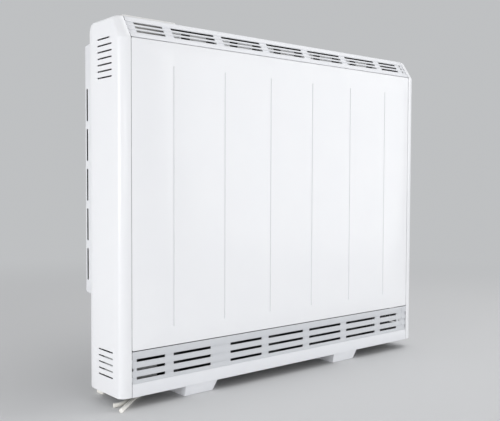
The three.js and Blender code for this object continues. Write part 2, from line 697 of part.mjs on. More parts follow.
function grilleScrew() {
  const z = LOWER_ROW_FIRST + LOWER_ROW_PITCH;
  const radius = SCREW_HOLE - GAP;
  const head = bar("y", SCREW_X, z, radius, 0.9, 0.9 + SCREW_LENGTH, 10);
  const recess = (turn) =>
    toSolid(
      new THREE.BoxGeometry(radius * 1.3, 1.6, 0.8).rotateY(turn).translate(SCREW_X, 1, z),
    );
  return cut(head, recess(Math.PI / 4), recess(-Math.PI / 4));
}

// The same moulding, laid on the slope between the front panel and the flat top.
function topGrille() {
  const height = SLOPE_LENGTH;
  const columns = grilleColumns(TOP_FIRST_COLUMN, INNER_LEFT);
  const rows = rowsFrom(TOP_ROW_FIRST, TOP_ROW_PITCH);
  const flat = louvredGrille({
    length: INNER_WIDTH,
    height,
    rows,
    slotHeight: TOP_SLOT_HEIGHT,
    columns,
  });
  const dimples = rows.map((z) =>
    bar("y", INNER_WIDTH - DIMPLE_INSET, z, DIMPLE_RADIUS, -1, GRILLE_LIP + 0.9, 8),
  );
  const middle = TOP_ROW_FIRST + TOP_ROW_PITCH;
  const tabs = tabPair(
    [SHEET + GAP, GRILLE_PLATE + GRILLE_LIP],
    [middle - TAB_LENGTH / 2, middle + TAB_LENGTH / 2],
  ).map((tab) => tab.translate([-INNER_LEFT, 0, 0]));
  const sloping = cut(join(flat, tabs), dimples)
    .rotate([(-SLOPE_ANGLE * 180) / Math.PI, 0, 0])
    .translate([INNER_LEFT, 0, CHAMFER_FOOT]);
  const across = [INNER_LEFT - 1, INNER_RIGHT + 1];
  const reach = 2 * (GRILLE_PLATE + GRILLE_LIP);
  return cut(
    sloping,
    block(across, [-reach, reach], [CHAMFER_FOOT - reach, CHAMFER_FOOT + SEAM / 2]),
    block(across, [CHAMFER_DEPTH, CHAMFER_DEPTH + reach], [CASE_HEIGHT - reach, CASE_HEIGHT + reach]),
  );
}

// ---------------------------------------------------------------- feet and stand-off frame

function rectangleRing([x0, x1], [y0, y1], z) {
  return [
    [x0, y0, z],
    [x1, y0, z],
    [x1, y1, z],
    [x0, y1, z],
  ];
}

// A pressed trough, tapering towards the floor and open at the top.
function foot(centre) {
  const top = SHEET;
  const trough = (wall, bottom, lid) => {
    const half = FOOT_WIDTH / 2 - wall;
    const rear = FOOT_FRONT + FOOT_LENGTH;
    return loft([
      rectangleRing(
        [centre - half + FOOT_TAPER_SIDE, centre + half - FOOT_TAPER_SIDE],
        [FOOT_FRONT + FOOT_TAPER_END + wall, rear - FOOT_REAR_TAPER - wall],
        bottom,
      ),
      rectangleRing([centre - half, centre + half], [FOOT_FRONT + wall, rear - wall], lid),
    ]);
  };
  return cut(trough(0, FLOOR, top), trough(FOOT_WALL, FLOOR + FOOT_WALL, top + 0.5));
}

// An open steel frame that keeps the case off the wall: four drafted walls and a flange at the rear.
function standoffFrame() {
  const front = CASE_DEPTH + GAP;
  const rear = TOTAL_DEPTH;
  const ring = (inset, y) => [
    [FRAME_INSET + inset, y, FRAME_BOTTOM + inset],
    [CASE_WIDTH - FRAME_INSET - inset, y, FRAME_BOTTOM + inset],
    [CASE_WIDTH - FRAME_INSET - inset, y, FRAME_TOP - inset],
    [FRAME_INSET + inset, y, FRAME_TOP - inset],
  ];
  const outer = loft([ring(0, front), ring(FRAME_DRAFT, rear)]);
  const inner = loft([
    ring(FRAME_WALL, front - 1),
    ring(FRAME_WALL + FRAME_DRAFT, rear - FRAME_WALL),
  ]);
  const border = FRAME_DRAFT + FRAME_FLANGE;
  const window = loft([ring(border, rear - 5), ring(border, rear + 1)]);
  const slots = [];
  for (let i = 0; i < FRAME_SLOT_COUNT; i++) {
    const z = FRAME_SLOT_FIRST + i * FRAME_SLOT_PITCH;
    const y = rear - FRAME_SLOT_REAR;
    const outline = slotOutline(
      y - FRAME_SLOT_WIDTH / 2,
      y + FRAME_SLOT_WIDTH / 2,
      z - FRAME_SLOT_LENGTH / 2,
      z + FRAME_SLOT_LENGTH / 2,
    );
    slots.push(prism("x", outline, 0, CASE_WIDTH));
  }
  const holes = [];
  const holeInset = FRAME_DRAFT + FRAME_FLANGE / 2;
  const holeX = FRAME_INSET + holeInset + WALL_HOLE_INSET;
  for (const x of [holeX, CASE_WIDTH - holeX])
    for (const z of [FRAME_BOTTOM + holeInset, FRAME_TOP - holeInset])
      holes.push(bar("y", x, z, WALL_HOLE_RADIUS, rear - 5, rear + 1, 12));
  return cut(outer, inner, window, slots, holes);
}

// ---------------------------------------------------------------- controls

const COVER_TOP = CASE_HEIGHT + COVER_RISE;
const WINDOW_X = COVER_LEFT + COVER_WIDTH / 2;
const WINDOW_Y = COVER_FRONT + WINDOW_ROW;
const BUTTON_Y = COVER_FRONT + BUTTON_ROW;
const HOUSING_FLOOR = CASE_HEIGHT - HOUSING_DEPTH;
const BOARD_BOTTOM = HOUSING_FLOOR + HOUSING_WALL + BOARD_BOSS + GAP;
const BOARD_TOP = BOARD_BOTTOM + BOARD_THICKNESS;
const STEM_BOTTOM = BOARD_TOP + SWITCH_CLEAR;

function cutoutX(inset) {
  return [COVER_LEFT + COVER_MARGIN + inset, COVER_LEFT + COVER_WIDTH - COVER_MARGIN - inset];
}

function cutoutY(inset) {
  return [COVER_FRONT + COVER_MARGIN + inset, COVER_FRONT + COVER_DEPTH - COVER_MARGIN - inset];
}

function buttonX(i) {
  return WINDOW_X + (i - (BUTTON_NAMES.length - 1) / 2) * BUTTON_PITCH;
}

function aroundButton(i, margin, z0, z1) {
  const x = buttonX(i);
  const halfX = BUTTON_WIDTH / 2 + margin;
  const halfY = BUTTON_DEPTH / 2 + margin;
  const outline = roundedRectangle(
    x - halfX,
    x + halfX,
    BUTTON_Y - halfY,
    BUTTON_Y + halfY,
    BUTTON_CORNER + margin,
  );
  return prism("z", outline, z0, z1);
}

function controlCover() {
  const [x0, x1] = [COVER_LEFT, COVER_LEFT + COVER_WIDTH];
  const [y0, y1] = [COVER_FRONT, COVER_FRONT + COVER_DEPTH];
  const low = CASE_HEIGHT + GAP;
  const rim = (inset, z) =>
    outlinePoints(
      roundedRectangle(x0 + inset, x1 - inset, y0 + inset, y1 - inset, COVER_CORNER - inset),
    ).map(([x, y]) => [x, y, z]);
  const plate = loft([rim(0, low), rim(0, COVER_TOP - 1), rim(1, COVER_TOP)]);
  const window = block(
    [WINDOW_X - WINDOW_WIDTH / 2 - GAP, WINDOW_X + WINDOW_WIDTH / 2 + GAP],
    [WINDOW_Y - WINDOW_DEPTH / 2 - GAP, WINDOW_Y + WINDOW_DEPTH / 2 + GAP],
    [low - 1, COVER_TOP + 1],
  );
  const holes = BUTTON_NAMES.map((_, i) => aroundButton(i, GAP, low - 1, COVER_TOP + 1));
  return cut(plate, window, holes);
}

function pushButton(i) {
  const cap = aroundButton(i, 0, STEM_BOTTOM + STEM_LENGTH - 1, COVER_TOP + BUTTON_PROUD);
  const rim = aroundButton(i, BUTTON_RIM, CASE_HEIGHT - 1, CASE_HEIGHT);
  const stem = bar("z", buttonX(i), BUTTON_Y, STEM_RADIUS, STEM_BOTTOM, STEM_BOTTOM + STEM_LENGTH, 8);
  return join(cap, rim, stem);
}

function displayWindow() {
  return block(
    [WINDOW_X - WINDOW_WIDTH / 2, WINDOW_X + WINDOW_WIDTH / 2],
    [WINDOW_Y - WINDOW_DEPTH / 2, WINDOW_Y + WINDOW_DEPTH / 2],
    [COVER_TOP - WINDOW_RECESS - WINDOW_THICKNESS, COVER_TOP - WINDOW_RECESS],
  );
}

function displayModule() {
  const halfX = WINDOW_WIDTH / 2 + 2;
  const halfY = WINDOW_DEPTH / 2 + 2;
  return block(
    [WINDOW_X - halfX, WINDOW_X + halfX],
    [WINDOW_Y - halfY, WINDOW_Y + halfY],
    [BOARD_TOP + GAP, COVER_TOP - WINDOW_RECESS - WINDOW_THICKNESS - GAP],
  );
}

function housingBosses(height) {
  const bosses = [];
  for (const x of cutoutX(BOSS_INSET)) for (const y of cutoutY(BOSS_INSET)) bosses.push([x, y]);
  return bosses.map(([x, y]) =>
    bar("z", x, y, BOSS_RADIUS, HOUSING_FLOOR + 1, HOUSING_FLOOR + HOUSING_WALL + height, 8),
  );
}

function controlHousing() {
  const bucket = cut(
    block(cutoutX(GAP), cutoutY(GAP), [HOUSING_FLOOR, CASE_HEIGHT]),
    block(cutoutX(GAP + HOUSING_WALL), cutoutY(GAP + HOUSING_WALL), [
      HOUSING_FLOOR + HOUSING_WALL,
      CASE_HEIGHT + 1,
    ]),
  );
  return join(bucket, housingBosses(BOARD_BOSS));
}

function controlBoard() {
  const plate = block(cutoutX(HOUSING_WALL + 1), cutoutY(HOUSING_WALL + 1), [BOARD_BOTTOM, BOARD_TOP]);
  const switchTop = STEM_BOTTOM - BUTTON_TRAVEL - GAP;
  const switches = BUTTON_NAMES.map((_, i) =>
    block(
      [buttonX(i) - SWITCH_SIZE / 2, buttonX(i) + SWITCH_SIZE / 2],
      [BUTTON_Y - SWITCH_SIZE / 2, BUTTON_Y + SWITCH_SIZE / 2],
      [BOARD_TOP - 0.2, switchTop],
    ),
  );
  const [width, depth, height] = RELAY_SIZE;
  const relays = RELAY_OFFSETS.map((offset) =>
    block(
      [WINDOW_X + offset - width / 2, WINDOW_X + offset + width / 2],
      [WINDOW_Y - depth / 2, WINDOW_Y + depth / 2],
      [BOARD_BOTTOM - height, BOARD_BOTTOM + 0.2],
    ),
  );
  return join(plate, switches, relays);
}

// ---------------------------------------------------------------- heat store

function elementZ(row) {
  return BRICK_BASE + (row + 1) * COURSE_PITCH - GAP / 2;
}

// A storage brick: half-round seats for the elements above and below, an upright duct in front.
function storageBrick(column, course) {
  const x0 = BRICK_LEFT + column * COLUMN_STEP;
  const x1 = x0 + BRICK_WIDTH;
  const z0 = BRICK_BASE + course * COURSE_PITCH;
  const z1 = z0 + BRICK_HEIGHT;
  const y0 = BRICK_FRONT;
  const y1 = BRICK_FRONT + BRICK_DEPTH;
  const ductFrom = (x0 + x1 - DUCT_WIDTH) / 2;
  const plan = [
    [x0, y0 + 2],
    [x0 + 2, y0],
    [ductFrom, y0],
    [ductFrom + 4, y0 + DUCT_DEPTH],
    [ductFrom + DUCT_WIDTH - 4, y0 + DUCT_DEPTH],
    [ductFrom + DUCT_WIDTH, y0],
    [x1 - 2, y0],
    [x1, y0 + 2],
    [x1, y1 - 2],
    [x1 - 2, y1],
    [x0 + 2, y1],
    [x0, y1 - 2],
  ];
  const seats = [];
  for (const y of ELEMENT_LEGS)
    for (const z of [z0 - GAP / 2, z1 + GAP / 2])
      seats.push(bar("x", y, z, GROOVE_RADIUS, x0 - 1, x1 + 1, 8));
  return cut(prism("z", plan, z0, z1), seats);
}

function roundSection(radius, sides) {
  return new THREE.Shape(
    Array.from({ length: sides }, (_, i) => {
      const turn = (2 * Math.PI * i) / sides;
      return new THREE.Vector2(radius * Math.cos(turn), radius * Math.sin(turn));
    }),
  );
}

// A sheathed heating element: a hairpin through the core, with terminal pins on its cold ends.
function heatingElement(row) {
  const z = elementZ(row);
  const from = CORE_LEFT - SHEET - ELEMENT_TAIL;
  const middle = (ELEMENT_LEGS[0] + ELEMENT_LEGS[1]) / 2;
  const section = roundSection(ELEMENT_RADIUS, 8).getPoints();
  const ring = (x, turn) =>
    section.map(({ x: u, y: v }) => [
      x + (ELEMENT_BEND + u) * Math.cos(turn),
      middle + (ELEMENT_BEND + u) * Math.sin(turn),
      z + v,
    ]);
  const rings = [ring(from, -Math.PI / 2)];
  const steps = 6;
  for (let k = 0; k <= steps; k++) rings.push(ring(BRICK_RIGHT, -Math.PI / 2 + (Math.PI * k) / steps));
  rings.push(ring(from, Math.PI / 2));
  const pins = ELEMENT_LEGS.map((y) => bar("x", y, z, PIN_RADIUS, from - PIN_LENGTH, from + 1, 8));
  return join(loft(rings), pins);
}

const SLAB_FRONT = [CORE_FRONT, CORE_FRONT + SLAB];
const BRICK_Y = [BRICK_FRONT, BRICK_FRONT + BRICK_DEPTH];
const SLAB_BACK = [BRICK_Y[1] + GAP, CORE_BACK - GAP];
const SLAB_BED = [CORE_FRONT, CORE_BACK - GAP];
const CORE_X = [CORE_LEFT + GAP, CORE_RIGHT - GAP];
const CORE_Z = [SHELF_HEIGHT + GAP, CORE_TOP - GAP];

function endBoard(left) {
  const x = left ? [CORE_X[0], CORE_X[0] + SLAB] : [BRICK_RIGHT, BRICK_RIGHT + SLAB - GAP];
  const board = block(x, BRICK_Y, [BRICK_BASE, BRICK_TOP - GAP]);
  const passages = [];
  for (let row = 0; row < BRICK_COURSES - 1; row++) {
    const z = elementZ(row);
    if (left) {
      for (const y of ELEMENT_LEGS)
        passages.push(bar("x", y, z, GROOVE_RADIUS, x[0] - 1, x[1] + 1, 8));
    } else {
      const half = ELEMENT_BEND + GROOVE_RADIUS;
      const reach = BRICK_RIGHT + half + 0.5;
      const across = [ELEMENT_Y - half, ELEMENT_Y + half];
      passages.push(block([x[0] - 1, reach], across, [z - GROOVE_RADIUS, z + GROOVE_RADIUS]));
    }
  }
  if (left) passages.push(bar("x", SENSOR_Y, SENSOR_Z, SENSOR_RADIUS + GAP, x[0] - 1, x[1] + 1, 8));
  return cut(board, passages);
}

// The galvanised box round the store: back and two ends, open at the front and at the top.
function coreCase() {
  const outer = block(
    [CORE_LEFT - SHEET, CORE_RIGHT + SHEET],
    [CORE_FRONT, CORE_BACK + SHEET],
    [SHELF_HEIGHT + GAP, CORE_TOP - GAP],
  );
  const inner = block(
    [CORE_LEFT, CORE_RIGHT],
    [CORE_FRONT - 1, CORE_BACK],
    [SHELF_HEIGHT - 1, CORE_TOP + 1],
  );
  const holes = [bar("x", SENSOR_Y, SENSOR_Z, SENSOR_RADIUS + GAP, CORE_LEFT - 5, CORE_LEFT + 1, 8)];
  for (let row = 0; row < BRICK_COURSES - 1; row++)
    for (const y of ELEMENT_LEGS)
      holes.push(bar("x", y, elementZ(row), GROOVE_RADIUS, CORE_LEFT - 5, CORE_LEFT + 1, 8));
  return cut(outer, inner, holes);
}

function coreFront() {
  return block(
    [CORE_LEFT - SHEET, CORE_RIGHT + SHEET],
    [CORE_FRONT - GAP - SHEET, CORE_FRONT - GAP],
    [SHELF_HEIGHT + GAP, CORE_TOP - GAP],
  );
}

// The lid has a long outlet with a low collar, and a flange folded down at the rear.
function coreLid() {
  const x = [CORE_LEFT - SHEET, CORE_RIGHT + SHEET];
  const y = [CORE_FRONT, CORE_BACK + SHEET];
  const outlet = [
    [OUTLET_LEFT, OUTLET_LEFT + OUTLET_WIDTH],
    [OUTLET_FRONT, OUTLET_FRONT + OUTLET_DEPTH],
  ];
  return cut(block(x, y, [CORE_TOP, LID_TOP]), block(...outlet, [CORE_TOP - 1, LID_TOP + 1]));
}

function topBoard() {
  const board = block(CORE_X, [CORE_FRONT + GAP, CORE_BACK - GAP], [BRICK_TOP, CORE_TOP - GAP]);
  const outlet = block(
    [OUTLET_LEFT, OUTLET_LEFT + OUTLET_WIDTH],
    [OUTLET_FRONT, OUTLET_FRONT + OUTLET_DEPTH],
    [BRICK_TOP - 1, CORE_TOP + 1],
  );
  return cut(board, outlet);
}

// The shelf under the store: a channel with windows in its front wall that let the air in.
function coreShelf() {
  const [x0, x1] = [CORE_LEFT - SHEET, CORE_RIGHT + SHEET];
  const front = CORE_FRONT;
  const back = CORE_BACK + SHEET;
  const foot = 2 * SHEET + 2 * GAP;
  const profile = [
    [front, foot],
    [front, SHELF_HEIGHT],
    [back, SHELF_HEIGHT],
    [back, foot],
    [back - SHEET, foot],
    [back - SHEET, SHELF_HEIGHT - SHEET],
    [front + SHEET, SHELF_HEIGHT - SHEET],
    [front + SHEET, foot],
  ];
  const windows = [];
  const pitch = (x1 - x0) / SHELF_WINDOWS;
  for (let i = 0; i < SHELF_WINDOWS; i++) {
    const outline = roundedRectangle(
      x0 + i * pitch + SHELF_WINDOW_SIDE,
      x0 + (i + 1) * pitch - SHELF_WINDOW_SIDE,
      SHELF_WINDOW_LOW,
      SHELF_HEIGHT - SHELF_WINDOW_HIGH,
      SHELF_WINDOW_CORNER,
    );
    windows.push(prism("y", outline, front - 1, front + 4));
  }
  return cut(prism("x", profile, x0, x1), windows);
}

// Sheet behind the top grille that turns the hot air forward, with teeth along its top edge.
function outletDeflector() {
  const z0 = LID_TOP + GAP;
  const [x0, x1] = [CORE_LEFT, CORE_RIGHT];
  const profile = [
    [DEFLECTOR_SETBACK, z0],
    [DEFLECTOR_SETBACK + DEFLECTOR_FOOT, z0],
    [DEFLECTOR_SETBACK + DEFLECTOR_FOOT, z0 + SHEET],
    [DEFLECTOR_SETBACK + SHEET, z0 + SHEET],
    [DEFLECTOR_SETBACK + SHEET, DEFLECTOR_TOP],
    [DEFLECTOR_SETBACK, DEFLECTOR_TOP],
  ];
  const gaps = [];
  for (let x = x0 + FIRST_TOOTH_GAP; x + TOOTH_GAP < x1; x += TOOTH_PITCH)
    gaps.push(
      block(
        [x, x + TOOTH_GAP],
        [DEFLECTOR_SETBACK - 1, DEFLECTOR_SETBACK + 3],
        [DEFLECTOR_TOP - TOOTH_DEPTH, DEFLECTOR_TOP + 1],
      ),
    );
  return cut(prism("x", profile, x0, x1), gaps);
}

// ---------------------------------------------------------------- damper

const SHAFT_Y = OUTLET_FRONT + OUTLET_DEPTH + SHAFT_SETBACK;
const SHAFT_Z = LID_TOP + SHAFT_HEIGHT;
const FLAP_X = [OUTLET_LEFT - FLAP_OVERLAP, OUTLET_LEFT + OUTLET_WIDTH + FLAP_OVERLAP];
const BEARINGS = {
  damper_bearing_left: FLAP_X[0] - 2 - BEARING_THICKNESS,
  damper_bearing_right: FLAP_X[1] + 2,
};
const MOTOR_RIGHT = BEARINGS.damper_bearing_left - MOTOR_CLEAR;

// The flap lies over the outlet; its rear edge is rolled round the shaft, its front edge turned up.
function damperFlap() {
  const rest = LID_TOP + GAP;
  const inner = SHAFT_RADIUS + GAP;
  const outer = inner + FLAP_SHEET;
  const front = OUTLET_FRONT - FLAP_OVERLAP;
  const points = [
    [front, rest + FLAP_EDGE],
    [front, rest],
    [SHAFT_Y - outer * 0.2, rest],
  ];
  const roll = [];
  for (let i = 0; i <= 8; i++) {
    const turn = -Math.PI / 2 + (Math.PI * 1.25 * i) / 8;
    roll.push([Math.cos(turn), Math.sin(turn)]);
  }
  roll.forEach(([c, s]) => points.push([SHAFT_Y + outer * c, SHAFT_Z + outer * s]));
  [...roll].reverse().forEach(([c, s]) => points.push([SHAFT_Y + inner * c, SHAFT_Z + inner * s]));
  points.push([SHAFT_Y - outer, rest + FLAP_SHEET]);
  points.push([front + FLAP_SHEET, rest + FLAP_SHEET], [front + FLAP_SHEET, rest + FLAP_EDGE]);
  return prism("x", points, ...FLAP_X);
}

function damperShaft() {
  const from = MOTOR_RIGHT - MOTOR_SOCKET + GAP;
  return bar("x", SHAFT_Y, SHAFT_Z, SHAFT_RADIUS, from, FLAP_X[1] + SHAFT_TAIL, 12);
}

function damperBearing(x) {
  const z0 = LID_TOP + GAP;
  const outline = new THREE.Shape();
  outline.moveTo(SHAFT_Y - 10, z0);
  outline.lineTo(SHAFT_Y + 10, z0);
  outline.lineTo(SHAFT_Y + 7, SHAFT_Z);
  outline.absarc(SHAFT_Y, SHAFT_Z, 7, 0, Math.PI, false);
  return cut(
    prism("x", outline, x, x + BEARING_THICKNESS),
    bar("x", SHAFT_Y, SHAFT_Z, SHAFT_RADIUS + GAP, x - 1, x + BEARING_THICKNESS + 1, 16),
  );
}

function damperMotor() {
  const [width, depth, height] = MOTOR_SIZE;
  const z0 = LID_TOP + GAP;
  const y0 = SHAFT_Y - depth / 2 - 2;
  const body = block([MOTOR_RIGHT - width, MOTOR_RIGHT], [y0, y0 + depth], [z0, z0 + height]);
  const nose = bar("x", SHAFT_Y, SHAFT_Z, SHAFT_RADIUS + 3, MOTOR_RIGHT - 1, MOTOR_RIGHT + 4, 12);
  const socket = [MOTOR_RIGHT - MOTOR_SOCKET, MOTOR_RIGHT + 6];
  return cut(join(body, nose), bar("x", SHAFT_Y, SHAFT_Z, SHAFT_RADIUS + GAP, ...socket, 16));
}

// ---------------------------------------------------------------- electrical pieces

const TRAY_TOP = 2 * SHEET + GAP;
const BRACKET_X = [BRACKET_LEFT, BRACKET_LEFT + BRACKET_WIDTH];
const BRACKET_Y = PLINTH_RETURN + 1;

// An angle that carries the terminals; its front wall runs on to the left into a side shield.
function terminalBracket() {
  const z0 = TRAY_TOP + GAP;
  const profile = [
    [BRACKET_Y, z0],
    [BRACKET_Y + BRACKET_FOOT, z0],
    [BRACKET_Y + BRACKET_FOOT, z0 + SHEET],
    [BRACKET_Y + SHEET, z0 + SHEET],
    [BRACKET_Y + SHEET, BRACKET_HEIGHT],
    [BRACKET_Y, BRACKET_HEIGHT],
  ];
  const arm = [SHIELD_BOTTOM, BRACKET_HEIGHT];
  return join(
    prism("x", profile, ...BRACKET_X),
    block([SHIELD_X, BRACKET_X[0] + 1], [BRACKET_Y, BRACKET_Y + SHEET], arm),
    block([SHIELD_X, SHIELD_X + SHEET], [BRACKET_Y, SHIELD_BACK], [SHIELD_BOTTOM, SHIELD_TOP]),
  );
}

function terminalBlock() {
  const [x0, x1] = [BRACKET_X[0] + 4, BRACKET_X[1] - 4];
  const y0 = BRACKET_Y + SHEET + GAP;
  const top = TERMINAL_BASE + TERMINAL_HEIGHT;
  const body = block([x0, x1], [y0, y0 + TERMINAL_DEPTH], [TERMINAL_BASE, top]);
  const pitch = (x1 - x0) / TERMINAL_POLES;
  const wells = [];
  for (let i = 0; i < TERMINAL_POLES; i++) {
    const x = x0 + (i + 0.5) * pitch;
    wells.push(bar("z", x, y0 + TERMINAL_DEPTH / 2, TERMINAL_WELL, top - 10, top + 2, 8));
  }
  return cut(body, wells);
}

function thermalCutout() {
  const [length, height, thickness] = CUTOUT_FLANGE;
  const x1 = CORE_LEFT - SHEET - GAP;
  const flange = prism(
    "x",
    roundedRectangle(
      CUTOUT_Y - length / 2,
      CUTOUT_Y + length / 2,
      CUTOUT_Z - height / 2,
      CUTOUT_Z + height / 2,
      6,
    ),
    x1 - thickness,
    x1,
  );
  const face = x1 - CUTOUT_LENGTH;
  const can = bar("x", CUTOUT_Y, CUTOUT_Z, CUTOUT_RADIUS, face, x1 - 1, 16);
  const well = bar("x", CUTOUT_Y, CUTOUT_Z, RESET_RADIUS + GAP, face - 1, face + RESET_WELL, 12);
  return cut(join(flange, can), well);
}

function resetButton() {
  const face = CORE_LEFT - SHEET - GAP - CUTOUT_LENGTH;
  const inner = face + RESET_WELL - RESET_TRAVEL;
  return bar("x", CUTOUT_Y, CUTOUT_Z, RESET_RADIUS, face - RESET_PROUD, inner, 12);
}

function coreSensor() {
  const outer = CORE_LEFT - SHEET - GAP;
  return join(
    bar("x", SENSOR_Y, SENSOR_Z, SENSOR_RADIUS, outer - 4, BRICK_LEFT - GAP, 8),
    bar("x", SENSOR_Y, SENSOR_Z, SENSOR_HEAD, outer - 10, outer, 6),
  );
}

function roomSensor() {
  const [thickness, width, height] = ROOM_SENSOR;
  const x0 = SHEET + GAP;
  const y0 = SIDE_SLOT_FRONT + (SIDE_SLOT_LENGTH - width) / 2;
  const z0 = SIDE_SLOTS_LOWER_Z + SIDE_SLOTS_LOWER * SIDE_SLOT_PITCH + 6;
  return prism("x", roundedRectangle(y0, y0 + width, z0, z0 + height, 3), x0, x0 + thickness);
}

// ---------------------------------------------------------------- supply cables

const CABLE_SPACING = 2 * CABLE_RADIUS + 0.4;
const GRIP_Y = CASE_DEPTH + GAP + CABLE_SPACING + 7.4;
const EXIT_X = BOOT_START + BOOT_LENGTH;
const CABLE_Z = FLOOR + CABLE_RADIUS + 0.1;

// Moulded clamp on the rear face of the case, with a flat tapering boot round both cables.
function cordGrip() {
  const back = CASE_DEPTH + GAP;
  const [width, height, thickness] = GRIP_PLATE;
  const plateX = [INNER_LEFT + 1, INNER_LEFT + 1 + width];
  const plate = block(plateX, [back, back + thickness], [-4, height - 4]);
  const web = block([GRIP_LEFT, plateX[1]], [back, back + GRIP_WEB], [-12, -1]);
  const body = block([GRIP_LEFT, BOOT_START + 0.5], [back, GRIP_Y + 12], [FLOOR + 0.2, -4]);
  const ring = (x, halfY, top, corner) =>
    outlinePoints(roundedRectangle(GRIP_Y - halfY, GRIP_Y + halfY, FLOOR + 0.1, top, corner)).map(
      ([y, z]) => [x, y, z],
    );
  const boot = loft([
    ring(BOOT_START, CABLE_SPACING + 4, CABLE_Z + CABLE_RADIUS + 4.5, 4),
    ring(EXIT_X, CABLE_SPACING + 0.8, CABLE_Z + CABLE_RADIUS + 1.2, 4),
  ]);
  return join(plate, web, body, boot);
}

// Both cables lie on the floor side by side: out of the boot along the wall, round under the case
// and out in front, where the left one parts from the other.
const CABLES = {
  supply_cable_left: {
    bend: CABLE_BEND,
    end: [
      [55, 59.3],
      [45.6, 50.6],
      [35.2, 42],
      [25, 35.6],
      [14, 32.4],
      [3.1, 33.6],
    ],
  },
  supply_cable_front: {
    bend: CABLE_BEND + CABLE_SPACING,
    end: [
      [58.6, 51.3],
      [44.4, 38.6],
      [30, 25.6],
      [14.5, 11.8],
      [-2, -2.8],
    ],
  },
};

function cableRoute({ bend, end }) {
  const middle = (CABLES.supply_cable_left.bend + CABLES.supply_cable_front.bend) / 2;
  const [x, y] = [EXIT_X + CABLE_STRAIGHT, GRIP_Y - middle];
  const points = [
    [EXIT_X + GAP, y + bend],
    [EXIT_X + CABLE_STRAIGHT / 2, y + bend],
  ];
  for (let degrees = 90; degrees >= -45; degrees -= 15) {
    const turn = (degrees * Math.PI) / 180;
    points.push([x + bend * Math.cos(turn), y + bend * Math.sin(turn)]);
  }
  return [...points, ...end].map(([px, py]) => new THREE.Vector3(px, py, CABLE_Z));
}

function cable(name) {
  const curve = new THREE.CatmullRomCurve3(cableRoute(CABLES[name]), false, "centripetal");
  const tube = new THREE.ExtrudeGeometry(roundSection(CABLE_RADIUS, CABLE_SIDES), {
    steps: CABLE_STEPS,
    bevelEnabled: false,
    extrudePath: curve,
  });
  return toSolid(tube);
}

// ---------------------------------------------------------------- assembly

const heater = new THREE.Group();
heater.name = "storage_heater";
const caseFrame = new THREE.Group();
caseFrame.position.set(-CASE_WIDTH / 2, -TOTAL_DEPTH / 2, FOOT_HEIGHT);
heater.add(caseFrame);

function add(name, solid, material) {
  const mesh = new THREE.Mesh(toGeometry(solid), material());
  mesh.name = name;
  caseFrame.add(mesh);
}

add("left_side_panel", sidePanel(false), whitePaint);
add("right_side_panel", sidePanel(true), whitePaint);
add("front_panel", frontPanel(), whitePaint);
add("top_panel", topPanel(), whitePaint);
add("top_grille", topGrille(), greyPaint);
add("lower_grille", lowerGrille(), greyPaint);
add("grille_screw", grilleScrew(), steel);
add("plinth_rail", plinthRail(), greyPaint);
add("base_tray", baseTray(), galvanised);
add("back_panel", backPanel(), galvanised);
add("standoff_frame", standoffFrame(), greyPaint);
for (const [name, centre] of Object.entries(FOOT_CENTRES)) add(name, foot(centre), greyPaint);

add("control_cover", controlCover(), whitePlastic);
add("display_window", displayWindow(), smokedLens);
add("display_module", displayModule(), darkPlastic);
add("control_board", controlBoard(), circuitBoard);
add("control_housing", controlHousing(), whitePlastic);
BUTTON_NAMES.forEach((name, i) => add(name, pushButton(i), whitePlastic));

for (let course = 0; course < BRICK_COURSES; course++)
  for (let column = 0; column < BRICK_COLUMNS; column++)
    add(`storage_brick_${course + 1}${"abc"[column]}`, storageBrick(column, course), brick);
for (let row = 0; row < BRICK_COURSES - 1; row++)
  add(`heating_element_${row + 1}`, heatingElement(row), sheath);
add("core_case", coreCase(), galvanised);
add("core_front", coreFront(), galvanised);
add("core_lid", coreLid(), galvanised);
add("core_shelf", coreShelf(), galvanised);
add("insulation_front", block(CORE_X, SLAB_FRONT, [BRICK_BASE, BRICK_TOP - GAP]), board);
add("insulation_back", block(CORE_X, SLAB_BACK, [BRICK_BASE, BRICK_TOP - GAP]), board);
add("insulation_left", endBoard(true), board);
add("insulation_right", endBoard(false), board);
add("insulation_base", block(CORE_X, SLAB_BED, [CORE_Z[0], CORE_Z[0] + SLAB]), board);
add("insulation_top", topBoard(), board);
add("outlet_deflector", outletDeflector(), galvanised);

add("damper_flap", damperFlap(), galvanised);
add("damper_shaft", damperShaft(), steel);
for (const [name, x] of Object.entries(BEARINGS)) add(name, damperBearing(x), darkPlastic);
add("damper_motor", damperMotor(), darkPlastic);

add("terminal_bracket", terminalBracket(), galvanised);
add("terminal_block", terminalBlock(), whitePlastic);
add("thermal_cutout", thermalCutout(), darkPlastic);
add("cutout_reset_button", resetButton(), whitePlastic);
add("core_sensor", coreSensor(), steel);
add("room_sensor", roomSensor(), whitePlastic);
add("cord_grip", cordGrip(), cableWhite);
for (const name of Object.keys(CABLES)) add(name, cable(name), cableWhite);

export default heater;
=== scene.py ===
"""Storage heater: the finished look of a slim panelled heater on two feet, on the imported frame.

Sizes in the classes are in millimetres in the case frame: x from the left side seen from the front,
y from the front face towards the wall, z from the underside of the case. Meshes are in metres, and so
are the studio's sizes.
"""

import json
import logging
import math
from collections.abc import Callable, Iterable, Sequence
from dataclasses import dataclass, field
from enum import Enum
from typing import NamedTuple

import bmesh
import bpy
from mathutils import Matrix, Vector


